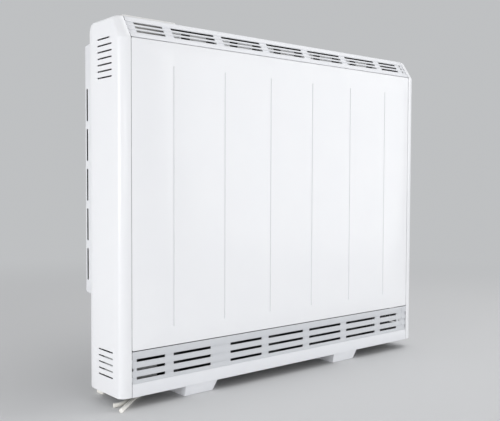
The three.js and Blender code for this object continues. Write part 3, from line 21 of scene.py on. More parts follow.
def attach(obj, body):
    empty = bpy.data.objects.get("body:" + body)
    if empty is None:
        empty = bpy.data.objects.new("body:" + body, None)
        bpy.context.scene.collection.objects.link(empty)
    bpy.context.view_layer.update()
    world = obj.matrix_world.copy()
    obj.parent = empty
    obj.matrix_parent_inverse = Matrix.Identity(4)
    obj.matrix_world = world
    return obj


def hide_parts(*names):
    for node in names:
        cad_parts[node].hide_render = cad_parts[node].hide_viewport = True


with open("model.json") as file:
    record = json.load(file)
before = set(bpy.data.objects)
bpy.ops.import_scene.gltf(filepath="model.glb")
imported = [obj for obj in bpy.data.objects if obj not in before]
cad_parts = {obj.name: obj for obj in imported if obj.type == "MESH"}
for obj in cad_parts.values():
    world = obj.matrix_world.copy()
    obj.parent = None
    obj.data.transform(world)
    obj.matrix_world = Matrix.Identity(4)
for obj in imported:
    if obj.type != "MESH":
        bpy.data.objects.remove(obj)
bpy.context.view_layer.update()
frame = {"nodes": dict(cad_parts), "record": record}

log = logging.getLogger("storage_heater")

MM = 0.001
CASE_WIDTH = 853.0
CASE_DEPTH = 119.0
CASE_HEIGHT = 708.0
TOTAL_DEPTH = 185.0
FOOT_HEIGHT = 22.0
ORIGIN = Vector((CASE_WIDTH / 2, TOTAL_DEPTH / 2, -FOOT_HEIGHT))
SHEET = 1.2
GAP = 0.3
SEAM = 1.0
LOWER_SEAM_WIDTH = 1.6
SIDE_STRIP = 22.4
INNER_LEFT = SIDE_STRIP + SEAM
INNER_RIGHT = CASE_WIDTH - SIDE_STRIP - SEAM
CHAMFER_DEPTH = 28.0
CHAMFER_HEIGHT = 42.0
CHAMFER_FOOT = CASE_HEIGHT - CHAMFER_HEIGHT
LOWER_SEAM = 86.3
PLINTH_HEIGHT = 25.0
TAB_REACH = 2.4
TAB_OVERLAP = 0.6
TAB_HEIGHT = 16.0

Point = tuple[float, float, float]
Colour = tuple[float, float, float, float]


def place(point: Sequence[float]) -> Vector:
    """Turns a point of the case frame, in millimetres, into metres of the shared frame."""
    return (Vector(point) - ORIGIN) * MM


def case(point: Vector) -> Vector:
    """Turns a point of the shared frame, in metres, into millimetres of the case frame."""
    return point / MM + ORIGIN


# ------------------------------------------------------------------------------------- finishes


class Socket(NamedTuple):
    """One named input of a node group, with its first value."""

    name: str
    kind: str
    value: float | tuple[float, ...]


def new_group(name: str, inputs: Sequence[Socket], outputs: Sequence[tuple[str, str]]) -> bpy.types.NodeTree:
    """Starts a shader node group with named inputs and outputs.

    Args:
        name: Name of the group.
        inputs: Its input sockets.
        outputs: Names and kinds of its output sockets.

    Returns:
        The node tree, with a group input and a group output in it.
    """
    tree = bpy.data.node_groups.new(name, "ShaderNodeTree")
    for socket in inputs:
        made = tree.interface.new_socket(socket.name, in_out="INPUT", socket_type=socket.kind)
        made.default_value = socket.value
    for label, kind in outputs:
        tree.interface.new_socket(label, in_out="OUTPUT", socket_type=kind)
    tree.nodes.new("NodeGroupInput").name = "In"
    tree.nodes.new("NodeGroupOutput").name = "Out"
    return tree


def add_node(tree: bpy.types.NodeTree, kind: str, **settings: object) -> bpy.types.Node:
    """Adds one node and sets it up.

    Args:
        tree: The node tree.
        kind: Node type without its ShaderNode prefix.
        **settings: Attributes of the node; a name that is an input socket's sets that socket.

    Returns:
        The new node.
    """
    node = tree.nodes.new("ShaderNode" + kind)
    for key, value in settings.items():
        if hasattr(node, key):
            setattr(node, key, value)
        else:
            node.inputs[key.replace("_", " ")].default_value = value
    return node


def blend_colours(tree: bpy.types.NodeTree, factor: object, first: object, second: object) -> object:
    """Mixes two colours in a node tree.

    Args:
        tree: The node tree.
        factor: Socket that drives the mix.
        first: Socket or plain colour at factor 0.
        second: Socket or plain colour at factor 1.

    Returns:
        The resulting colour socket.
    """
    mix = tree.nodes.new("ShaderNodeMix")
    mix.data_type = "RGBA"
    for socket, value in ((mix.inputs[6], first), (mix.inputs[7], second)):
        if isinstance(value, tuple):
            socket.default_value = value
        else:
            tree.links.new(value, socket)
    tree.links.new(factor, mix.inputs[0])
    return mix.outputs[2]


def build_grain() -> bpy.types.NodeTree:
    """Fine grain of a surface: a height for bumps and a mask that varies from place to place.

    Returns:
        The node group.
    """
    tree = new_group(
        "surface_grain",
        [Socket("Scale", "NodeSocketFloat", 900.0), Socket("Detail", "NodeSocketFloat", 3.0)],
        [("Height", "NodeSocketFloat"), ("Mask", "NodeSocketFloat")],
    )
    coords = add_node(tree, "TexCoord")
    fine = add_node(tree, "TexNoise")
    broad = add_node(tree, "TexNoise", Scale=14.0, Detail=2.0)
    tree.links.new(coords.outputs["Object"], fine.inputs["Vector"])
    tree.links.new(coords.outputs["Object"], broad.inputs["Vector"])
    tree.links.new(tree.nodes["In"].outputs["Scale"], fine.inputs["Scale"])
    tree.links.new(tree.nodes["In"].outputs["Detail"], fine.inputs["Detail"])
    tree.links.new(fine.outputs["Fac"], tree.nodes["Out"].inputs["Height"])
    tree.links.new(broad.outputs["Fac"], tree.nodes["Out"].inputs["Mask"])
    return tree


def build_dust() -> bpy.types.NodeTree:
    """Thin dust: a mask that is strongest on faces that look up and broken by noise.

    Returns:
        The node group.
    """
    tree = new_group(
        "settled_dust",
        [Socket("Amount", "NodeSocketFloat", 0.3), Socket("Scale", "NodeSocketFloat", 60.0)],
        [("Mask", "NodeSocketFloat")],
    )
    geometry = add_node(tree, "NewGeometry")
    split = add_node(tree, "SeparateXYZ")
    coords = add_node(tree, "TexCoord")
    noise = add_node(tree, "TexNoise", Detail=4.0)
    facing = add_node(tree, "MapRange", From_Min=0.35, From_Max=1.0)
    product = add_node(tree, "Math", operation="MULTIPLY")
    scaled = add_node(tree, "Math", operation="MULTIPLY", use_clamp=True)
    links = tree.links
    links.new(geometry.outputs["Normal"], split.inputs[0])
    links.new(split.outputs["Z"], facing.inputs["Value"])
    links.new(coords.outputs["Object"], noise.inputs["Vector"])
    links.new(tree.nodes["In"].outputs["Scale"], noise.inputs["Scale"])
    links.new(facing.outputs["Result"], product.inputs[0])
    links.new(noise.outputs["Fac"], product.inputs[1])
    links.new(product.outputs[0], scaled.inputs[0])
    links.new(tree.nodes["In"].outputs["Amount"], scaled.inputs[1])
    links.new(scaled.outputs[0], tree.nodes["Out"].inputs["Mask"])
    return tree


class Effect(Enum):
    """The shared effects that a finish can place in its material."""

    GRAIN = "surface_grain"
    DUST = "settled_dust"


EFFECT_BUILDERS: dict[Effect, Callable[[], bpy.types.NodeTree]] = {
    Effect.GRAIN: build_grain,
    Effect.DUST: build_dust,
}


def effect(tree: bpy.types.NodeTree, which: Effect, **values: float) -> bpy.types.Node:
    """Places a shared effect in a material, building its group the first time.

    Args:
        tree: The material's node tree.
        which: The effect.
        **values: Values of the effect's inputs.

    Returns:
        The group node.
    """
    shared = bpy.data.node_groups.get(which.value) or EFFECT_BUILDERS[which]()
    node = tree.nodes.new("ShaderNodeGroup")
    node.node_tree = shared
    for key, value in values.items():
        node.inputs[key].default_value = value
    return node


def srgb(red: float, green: float, blue: float) -> Colour:
    """Turns a colour as it is seen into a linear colour.

    Args:
        red: Red, 0 to 255.
        green: Green, 0 to 255.
        blue: Blue, 0 to 255.

    Returns:
        The linear colour, with full alpha.
    """

    def linear(value: float) -> float:
        """Turns one of the three values into a linear one."""
        part = value / 255
        return part / 12.92 if part <= 0.04045 else ((part + 0.055) / 1.055) ** 2.4

    return (linear(red), linear(green), linear(blue), 1.0)


@dataclass(frozen=True)
class Finish:
    """A surface finish: base colours, gloss and grain.

    The second colour comes in patches; dust settles on faces that look up.
    """

    name: str
    colour: Colour
    patches: Colour
    roughness: tuple[float, float] = (0.35, 0.45)
    metallic: float = 0.0
    coat: float = 0.0
    coat_roughness: float = 0.12
    grain_scale: float = 900.0
    grain_height: float = 0.02
    bump_strength: float = 0.35
    dust: float = 0.0
    dust_colour: Colour = (0.5, 0.48, 0.44, 1.0)

    def make(self) -> bpy.types.Material:
        """Builds the procedural material, or gives it back if it is there already.

        Returns:
            The material, made once for each finish.
        """
        known = bpy.data.materials.get(self.name)
        if known:
            return known
        material = bpy.data.materials.new(self.name)
        material.use_nodes = True
        tree = material.node_tree
        shader = tree.nodes["Principled BSDF"]
        shader.inputs["Metallic"].default_value = self.metallic
        shader.inputs["Coat Weight"].default_value = self.coat
        shader.inputs["Coat Roughness"].default_value = self.coat_roughness
        grain = effect(tree, Effect.GRAIN, Scale=self.grain_scale)
        colour = self.colour_socket(tree, grain)
        if self.dust:
            dust = effect(tree, Effect.DUST, Amount=self.dust)
            colour = blend_colours(tree, dust.outputs["Mask"], colour, self.dust_colour)
        tree.links.new(colour, shader.inputs["Base Color"])
        rough = add_node(tree, "MapRange", To_Min=self.roughness[0], To_Max=self.roughness[1])
        tree.links.new(grain.outputs["Mask"], rough.inputs["Value"])
        tree.links.new(rough.outputs["Result"], shader.inputs["Roughness"])
        bump = add_node(tree, "Bump", Strength=self.bump_strength, Distance=self.grain_height * MM)
        tree.links.new(self.height_socket(tree, grain), bump.inputs["Height"])
        tree.links.new(bump.outputs["Normal"], shader.inputs["Normal"])
        self.finish_shader(shader)
        return material

    def colour_socket(self, tree: bpy.types.NodeTree, grain: bpy.types.Node) -> object:
        """Gives the colour before dust: the base colour with its patches."""
        return blend_colours(tree, grain.outputs["Mask"], self.colour, self.patches)

    def height_socket(self, tree: bpy.types.NodeTree, grain: bpy.types.Node) -> object:
        """Gives the height that makes the bumps."""
        return grain.outputs["Height"]

    def finish_shader(self, shader: bpy.types.Node) -> None:
        """Sets what only this kind of finish has on the shader's own sockets."""


@dataclass(frozen=True)
class Zinc(Finish):
    """Zinc coated sheet, with its crystal flowers."""

    flower_scale: float = 130.0

    def colour_socket(self, tree: bpy.types.NodeTree, grain: bpy.types.Node) -> object:
        """Gives the colour of crystal cells between the two base colours.

        Args:
            tree: The material's node tree.
            grain: The grain group's node; not used.

        Returns:
            The socket that gives the colour.
        """
        coords = add_node(tree, "TexCoord")
        cells = add_node(tree, "TexVoronoi", Scale=self.flower_scale)
        tree.links.new(coords.outputs["Object"], cells.inputs["Vector"])
        tone = add_node(tree, "SeparateColor")
        tree.links.new(cells.outputs["Color"], tone.inputs[0])
        return blend_colours(tree, tone.outputs[0], self.colour, self.patches)


@dataclass(frozen=True)
class Pressed(Finish):
    """Coarse pressed or fibrous stuff, with pores that show as dark specks."""

    pore_scale: float = 320.0
    pore_edge: tuple[float, float] = (0.12, 0.3)
    pore_colour: Colour = (0.02, 0.016, 0.013, 1.0)

    def colour_socket(self, tree: bpy.types.NodeTree, grain: bpy.types.Node) -> object:
        """Gives the patchy colour with pores.

        Args:
            tree: The material's node tree.
            grain: The grain group's node.

        Returns:
            The socket that gives the colour.
        """
        base = blend_colours(tree, grain.outputs["Mask"], self.colour, self.patches)
        coords = add_node(tree, "TexCoord")
        pores = add_node(tree, "TexVoronoi", Scale=self.pore_scale)
        tree.links.new(coords.outputs["Object"], pores.inputs["Vector"])
        low, high = self.pore_edge
        near = add_node(tree, "MapRange", From_Min=low, From_Max=high, To_Min=1.0, To_Max=0.0)
        tree.links.new(pores.outputs["Distance"], near.inputs["Value"])
        return blend_colours(tree, near.outputs["Result"], base, self.pore_colour)


@dataclass(frozen=True)
class Lens(Finish):
    """Smoked see-through plastic."""

    transmission: float = 0.85
    refraction: float = 1.49

    def finish_shader(self, shader: bpy.types.Node) -> None:
        """Lets light through and sets the index of refraction."""
        shader.inputs["Transmission Weight"].default_value = self.transmission
        shader.inputs["IOR"].default_value = self.refraction


WHITE_PAINT = Finish(
    "white_enamel",
    srgb(240, 241, 243),
    srgb(237, 238, 241),
    roughness=(0.26, 0.34),
    coat=0.25,
    grain_scale=700.0,
    grain_height=0.03,
    dust=0.04,
)
# Satin white for the grilles, plinth, feet and stand-off frame, a little greyer than the front's white
# enamel: the grey is painted shade, as these pieces take less light.
DIMMED_WHITE_PAINT = Finish(
    "satin_enamel_painted_shade",
    srgb(233, 234, 237),
    srgb(229, 231, 235),
    roughness=(0.36, 0.46),
    grain_scale=800.0,
    grain_height=0.03,
    dust=0.06,
)
# Painted shade: white enamel darkened for the lower grille, whose louvres face down and away from the lamps.
SHADED_LOUVRE_PAINT = Finish(
    "louvre_enamel_painted_shade",
    srgb(208, 210, 214),
    srgb(203, 206, 210),
    roughness=(0.38, 0.48),
    grain_scale=800.0,
    grain_height=0.03,
    dust=0.06,
)
# Painted shade: a near-black coat on insides, folds and cut ends, so that seams, slots and hollows read
# dark.
PAINTED_SHADE = Finish(
    "painted_shade_coat",
    (0.09, 0.092, 0.095, 1.0),
    (0.11, 0.112, 0.115, 1.0),
    roughness=(0.7, 0.85),
    grain_scale=600.0,
    grain_height=0.05,
)
ZINC = Zinc(
    "zinc_sheet",
    (0.42, 0.43, 0.44, 1.0),
    (0.56, 0.57, 0.58, 1.0),
    roughness=(0.38, 0.52),
    metallic=0.85,
    dust=0.12,
)
# Painted shade: near-black zinc for the core's front and shelf and the base tray, deep inside the case
# behind the slots.
DEEP_SHADE_ZINC = Zinc(
    "zinc_deep_painted_shade",
    (0.05, 0.052, 0.055, 1.0),
    (0.07, 0.072, 0.075, 1.0),
    roughness=(0.55, 0.7),
    metallic=0.5,
)
# Painted light: the galvanised deflector made near-white and barely metallic, for the light that reaches it
# through the top grille's slots.
PAINTED_LIGHT_SHEET = Finish(
    "sheet_painted_light",
    (0.8, 0.81, 0.82, 1.0),
    (0.84, 0.85, 0.86, 1.0),
    roughness=(0.4, 0.5),
    metallic=0.15,
)
# Painted shade: zinc darkened for the terminal bracket behind the slots and for the floors of the top
# grille's dimples.
HALF_SHADE_ZINC = Zinc(
    "zinc_half_painted_shade",
    (0.3, 0.305, 0.31, 1.0),
    (0.36, 0.365, 0.37, 1.0),
    roughness=(0.5, 0.6),
    metallic=0.25,
)
PLATED = Finish(
    "plated_steel",
    (0.55, 0.56, 0.57, 1.0),
    (0.62, 0.62, 0.61, 1.0),
    roughness=(0.28, 0.4),
    metallic=0.95,
)
WHITE_PLASTIC = Finish(
    "white_moulding",
    srgb(238, 238, 236),
    srgb(234, 234, 232),
    roughness=(0.42, 0.5),
    grain_scale=2200.0,
    grain_height=0.05,
)
DARK_PLASTIC = Finish(
    "dark_moulding",
    (0.03, 0.032, 0.035, 1.0),
    (0.045, 0.047, 0.05, 1.0),
    roughness=(0.45, 0.6),
    grain_scale=1800.0,
    grain_height=0.05,
    dust=0.08,
)
SMOKED = Lens("smoked_lens", (0.05, 0.06, 0.065, 1.0), (0.045, 0.055, 0.06, 1.0), roughness=(0.05, 0.09))
CIRCUIT = Finish(
    "solder_resist",
    (0.015, 0.12, 0.05, 1.0),
    (0.02, 0.16, 0.065, 1.0),
    roughness=(0.25, 0.4),
    grain_scale=500.0,
)
BRICK = Pressed(
    "pressed_brick",
    (0.075, 0.05, 0.04, 1.0),
    (0.12, 0.075, 0.055, 1.0),
    roughness=(0.85, 0.97),
    grain_scale=420.0,
    grain_height=0.4,
)
SHEATH = Finish(
    "heat_tinted_sheath",
    (0.2, 0.17, 0.15, 1.0),
    (0.3, 0.24, 0.2, 1.0),
    roughness=(0.3, 0.5),
    metallic=0.9,
)
BOARD = Pressed(
    "mineral_board",
    (0.6, 0.56, 0.48, 1.0),
    (0.68, 0.65, 0.57, 1.0),
    roughness=(0.9, 0.98),
    grain_scale=600.0,
    grain_height=0.35,
    pore_scale=700.0,
    pore_colour=(0.4, 0.36, 0.3, 1.0),
)
CABLE = Finish(
    "cable_sheath",
    srgb(247, 246, 241),
    srgb(245, 243, 237),
    roughness=(0.38, 0.5),
    grain_scale=1500.0,
    dust=0.02,
)

NODE_FINISHES: dict[str, Finish] = {
    "white_paint": WHITE_PAINT,
    "grille_paint": DIMMED_WHITE_PAINT,
    "galvanised_steel": ZINC,
    "plated_steel": PLATED,
    "white_plastic": WHITE_PLASTIC,
    "dark_plastic": DARK_PLASTIC,
    "smoked_lens": SMOKED,
    "circuit_board": CIRCUIT,
    "storage_brick": BRICK,
    "element_sheath": SHEATH,
    "insulation_board": BOARD,
    "cable_sheath": CABLE,
}
# Painted shade: these nodes get the near-black zinc instead of their slot's finish, so that the slots in
# front of them read dark.
NODE_SHADE_FINISHES: dict[str, Finish] = {
    "core_front": DEEP_SHADE_ZINC,
    "core_shelf": DEEP_SHADE_ZINC,
}


def dress(obj: bpy.types.Object, finish: Finish) -> None:
    """Gives an object one finish all over.

    Args:
        obj: The object.
        finish: Its finish.
    """
    material = finish.make()
    obj.data.materials.clear()
    obj.data.materials.append(material)


def paint_shade(obj: bpy.types.Object, finish: Finish, shaded: Callable[[Vector, Vector], bool]) -> None:
    """Gives the faces that a test picks a second finish: painted shade on the insides, folds and cut ends of
    a panel.

    Args:
        obj: The piece, already dressed.
        finish: The second finish.
        shaded: Called with a face's middle in millimetres and its normal.
    """
    obj.data.materials.append(finish.make())
    for face in obj.data.polygons:
        if shaded(case(face.center), face.normal):
            face.material_index = 1


def is_shaded_left_end(at: Vector, normal: Vector) -> bool:
    """Tells whether a face is the cut left end of a sheet on the front, down in the seam, where painted
    shade goes; the right ends get none.
    """
    return normal.x < -0.8 and at.x < INNER_LEFT + SHEET / 2


# ------------------------------------------------------------------------------------- modelling


def deselect() -> None:
    """Leaves edit mode and deselects every object."""
    if bpy.context.object and bpy.context.object.mode != "OBJECT":
        bpy.ops.object.mode_set(mode="OBJECT")
    bpy.ops.object.select_all(action="DESELECT")


def take(obj: bpy.types.Object) -> None:
    """Makes one object the only selected one and the active one.

    Args:
        obj: The object.
    """
    deselect()
    obj.select_set(True)
    bpy.context.view_layer.objects.active = obj


def settle(obj: bpy.types.Object) -> None:
    """Puts an object's place, turn and scale into its mesh."""
    take(obj)
    bpy.ops.object.transform_apply(location=True, rotation=True, scale=True)


def add_block(name: str, low: Point, high: Point) -> bpy.types.Object:
    """Adds a cube primitive between two corners.

    Args:
        name: Name of the new piece.
        low: Its lowest corner in the case frame, in millimetres.
        high: Its highest corner.

    Returns:
        The new object, at the origin.
    """
    deselect()
    corner, opposite = place(low), place(high)
    bpy.ops.mesh.primitive_cube_add(size=1, location=(corner + opposite) / 2, scale=opposite - corner)
    obj = bpy.context.object
    obj.name = name
    settle(obj)
    return obj


class Axis(Enum):
    """An axis of the frame, with the turn that lays an upright primitive along it."""

    X = (0.0, math.pi / 2, 0.0)
    Y = (math.pi / 2, 0.0, 0.0)
    Z = (0.0, 0.0, 0.0)


def add_bar(
    name: str, centre: Point, radius: float, length: float, axis: Axis, sides: int = 24
) -> bpy.types.Object:
    """Adds a cylinder primitive along an axis.

    Args:
        name: Name of the new piece.
        centre: Its middle in the case frame, in millimetres.
        radius: Its radius in millimetres.
        length: Its length in millimetres.
        axis: The axis that it lies along.
        sides: Number of its sides.

    Returns:
        The new object, at the origin.
    """
    deselect()
    bpy.ops.mesh.primitive_cylinder_add(
        vertices=sides, radius=radius * MM, depth=length * MM, location=place(centre), rotation=axis.value
    )
    obj = bpy.context.object
    obj.name = name
    settle(obj)
    return obj


class Bench:
    """One mesh in edit mode, whose parts are picked by their place in the case frame."""

    def __init__(self, obj: bpy.types.Object) -> None:
        """Takes the object that is worked on."""
        self.obj = obj

    def __enter__(self) -> "Bench":
        """Enters edit mode with nothing selected.

        Returns:
            The bench itself.
        """
        take(self.obj)
        bpy.ops.object.mode_set(mode="EDIT")
        self.clear()
        return self

    def __exit__(self, *_: object) -> None:
        """Goes back to object mode."""
        bpy.ops.object.mode_set(mode="OBJECT")

    def clear(self) -> None:
        """Deselects all of the mesh."""
        bpy.ops.mesh.select_all(action="DESELECT")

    def pick_all(self) -> None:
        """Selects all of the mesh."""
        bpy.ops.mesh.select_all(action="SELECT")

    def pick(self, kind: str, test: Callable[[Vector, Vector], bool]) -> None:
        """Selects only the faces, edges or vertices that pass a test.

        Args:
            kind: FACE, EDGE or VERT.
            test: Called with the element's middle in millimetres and a direction: a face's or a
                vertex's normal, or an edge's run.
        """
        bpy.ops.mesh.select_mode(type=kind)
        self.clear()
        mesh = bmesh.from_edit_mesh(self.obj.data)
        if kind == "FACE":
            found = [f for f in mesh.faces if test(case(f.calc_center_median()), f.normal)]
        elif kind == "EDGE":
            found = []
            for edge in mesh.edges:
                first, second = (v.co for v in edge.verts)
                if test(case((first + second) / 2), (second - first).normalized()):
                    found.append(edge)
        else:
            found = [v for v in mesh.verts if test(case(v.co), v.normal)]
        for element in found:
            element.select = True
        mesh.select_flush_mode()
        bmesh.update_edit_mesh(self.obj.data)

    def slice(self, axis: int, values: Iterable[float]) -> None:
        """Cuts the whole mesh by planes across one axis.

        Args:
            axis: 0 for x, 1 for y, 2 for z.
            values: Places of the planes in the case frame, in millimetres.
        """
        normal = [0.0, 0.0, 0.0]
        normal[axis] = 1.0
        for value in values:
            point = [0.0, 0.0, 0.0]
            point[axis] = value
            self.pick_all()
            bpy.ops.mesh.bisect(plane_co=place(point), plane_no=normal)

    def move(self, x: float = 0.0, y: float = 0.0, z: float = 0.0) -> None:
        """Moves what is selected, in millimetres."""
        bpy.ops.transform.translate(value=(x * MM, y * MM, z * MM))

    def extrude(self, x: float = 0.0, y: float = 0.0, z: float = 0.0) -> None:
        """Extrudes the selected faces or edges by a step in millimetres."""
        bpy.ops.mesh.extrude_region_move(TRANSFORM_OT_translate={"value": (x * MM, y * MM, z * MM)})

    def bevel(self, width: float, segments: int = 3) -> None:
        """Rounds the selected edges by a width in millimetres.

        Args:
            width: Width of the rounding.
            segments: Steps of the rounding.
        """
        bpy.ops.mesh.bevel(
            offset_type="OFFSET", offset=width * MM, segments=segments, profile=0.5, affect="EDGES"
        )

    def drop(self, kind: str = "FACE") -> None:
        """Deletes the selected faces, or vertices if the kind is VERT."""
        bpy.ops.mesh.delete(type=kind)


def modify(obj: bpy.types.Object, kind: str, **settings: object) -> None:
    """Adds a modifier, sets it up and applies it.

    Args:
        obj: The object.
        kind: Kind of modifier.
        **settings: The modifier's own settings.
    """
    take(obj)
    bpy.ops.object.modifier_add(type=kind)
    modifier = obj.modifiers[-1]
    for key, value in settings.items():
        setattr(modifier, key, value)
    bpy.ops.object.modifier_apply(modifier=modifier.name)


def carve(obj: bpy.types.Object, tools: Sequence[bpy.types.Object], crossing: bool = False) -> None:
    """Cuts a set of cutting bodies out of an object and removes them.

    Args:
        obj: The object.
        tools: The cutting bodies.
        crossing: True where the cutting bodies run through each other.
    """
    take(tools[0])
    for tool in tools[1:]:
        tool.select_set(True)
    if len(tools) > 1:
        bpy.ops.object.join()
    cutter = tools[0]
    modify(obj, "BOOLEAN", object=cutter, operation="DIFFERENCE", solver="EXACT", use_self=crossing)
    bpy.data.objects.remove(cutter)


def merge(obj: bpy.types.Object, parts: Sequence[bpy.types.Object]) -> None:
    """Adds further shells to an object's mesh.

    Args:
        obj: The object that keeps its name.
        parts: The objects that go into it.
    """
    take(obj)
    for part in parts:
        part.select_set(True)
    bpy.ops.object.join()


def repeat(obj: bpy.types.Object, steps: Sequence[Point]) -> list[bpy.types.Object]:
    """Copies an object to further places, each copy with its own mesh.

    Args:
        obj: The object that is copied.
        steps: Moves of the copies, in millimetres.

    Returns:
        The object and its copies.
    """
    copies = [obj]
    for step in steps:
        take(obj)
        bpy.ops.object.duplicate(linked=False)
        copy = bpy.context.object
        copy.location = Vector(step) * MM
        settle(copy)
        copies.append(copy)
    return copies


def add_slot_cutter(
    name: str, centre: Point, length: float, width: float, depth: float, across: Axis, along: Axis
) -> bpy.types.Object:
    """Adds a cutting body with the outline of a slot with round ends.

    Args:
        name: Name of the cutting body.
        centre: Its middle in the case frame, in millimetres.
        length: Length of the slot.
        width: Width of the slot.
        depth: Depth of the cutting body.
        across: Axis that the slot is cut through.
        along: Axis that the slot runs along.

    Returns:
        The new object.
    """
    obj = add_bar(name, centre, width / 2, depth, across, 16)
    index = list(Axis).index(along)
    half = (length - width) / 2
    step = [0.0, 0.0, 0.0]
    with Bench(obj) as bench:
        for sign in (-1, 1):
            step[index] = sign * half
            bench.pick("VERT", lambda at, _: (at[index] - centre[index]) * sign > 1e-3)
            bench.move(*step)
    return obj


def soften(obj: bpy.types.Object, angle: float = 35.0) -> None:
    """Shades an object smooth across edges that are flatter than an angle in degrees."""
    take(obj)
    bpy.ops.object.shade_smooth_by_angle(angle=math.radians(angle))


def round_edges(obj: bpy.types.Object, width: float, segments: int = 2, angle: float = 35.0) -> None:
    """Rounds every sharp edge of an object.

    Args:
        obj: The object.
        width: Width of the rounding in millimetres.
        segments: Steps of the rounding.
        angle: Smallest bend in degrees that counts as an edge.
    """
    modify(
        obj,
        "BEVEL",
        width=width * MM,
        segments=segments,
        limit_method="ANGLE",
        angle_limit=math.radians(angle),
        harden_normals=False,
    )


def hand_in(obj: bpy.types.Object, finish: Finish, slot: str, body: str, *nodes: str) -> None:
    """Dresses a finished piece and says what it stands for.

    Args:
        obj: The finished piece.
        finish: Its finish.
        slot: The record's material slot; not used.
        body: Body that it rides on.
        *nodes: CAD nodes that it replaces.
    """
    dress(obj, finish)
    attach(obj, body)
    if nodes:
        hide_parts(*nodes)
    log.info("%s: %d faces, for %s", obj.name, len(obj.data.polygons), ", ".join(nodes) or "detail")


# ------------------------------------------------------------------------------------- view


class Lamp(NamedTuple):
    """One soft round area light, aimed at a height over the middle of the floor."""

    name: str
    spot: Point
    aim: float
    size: float
    power: float


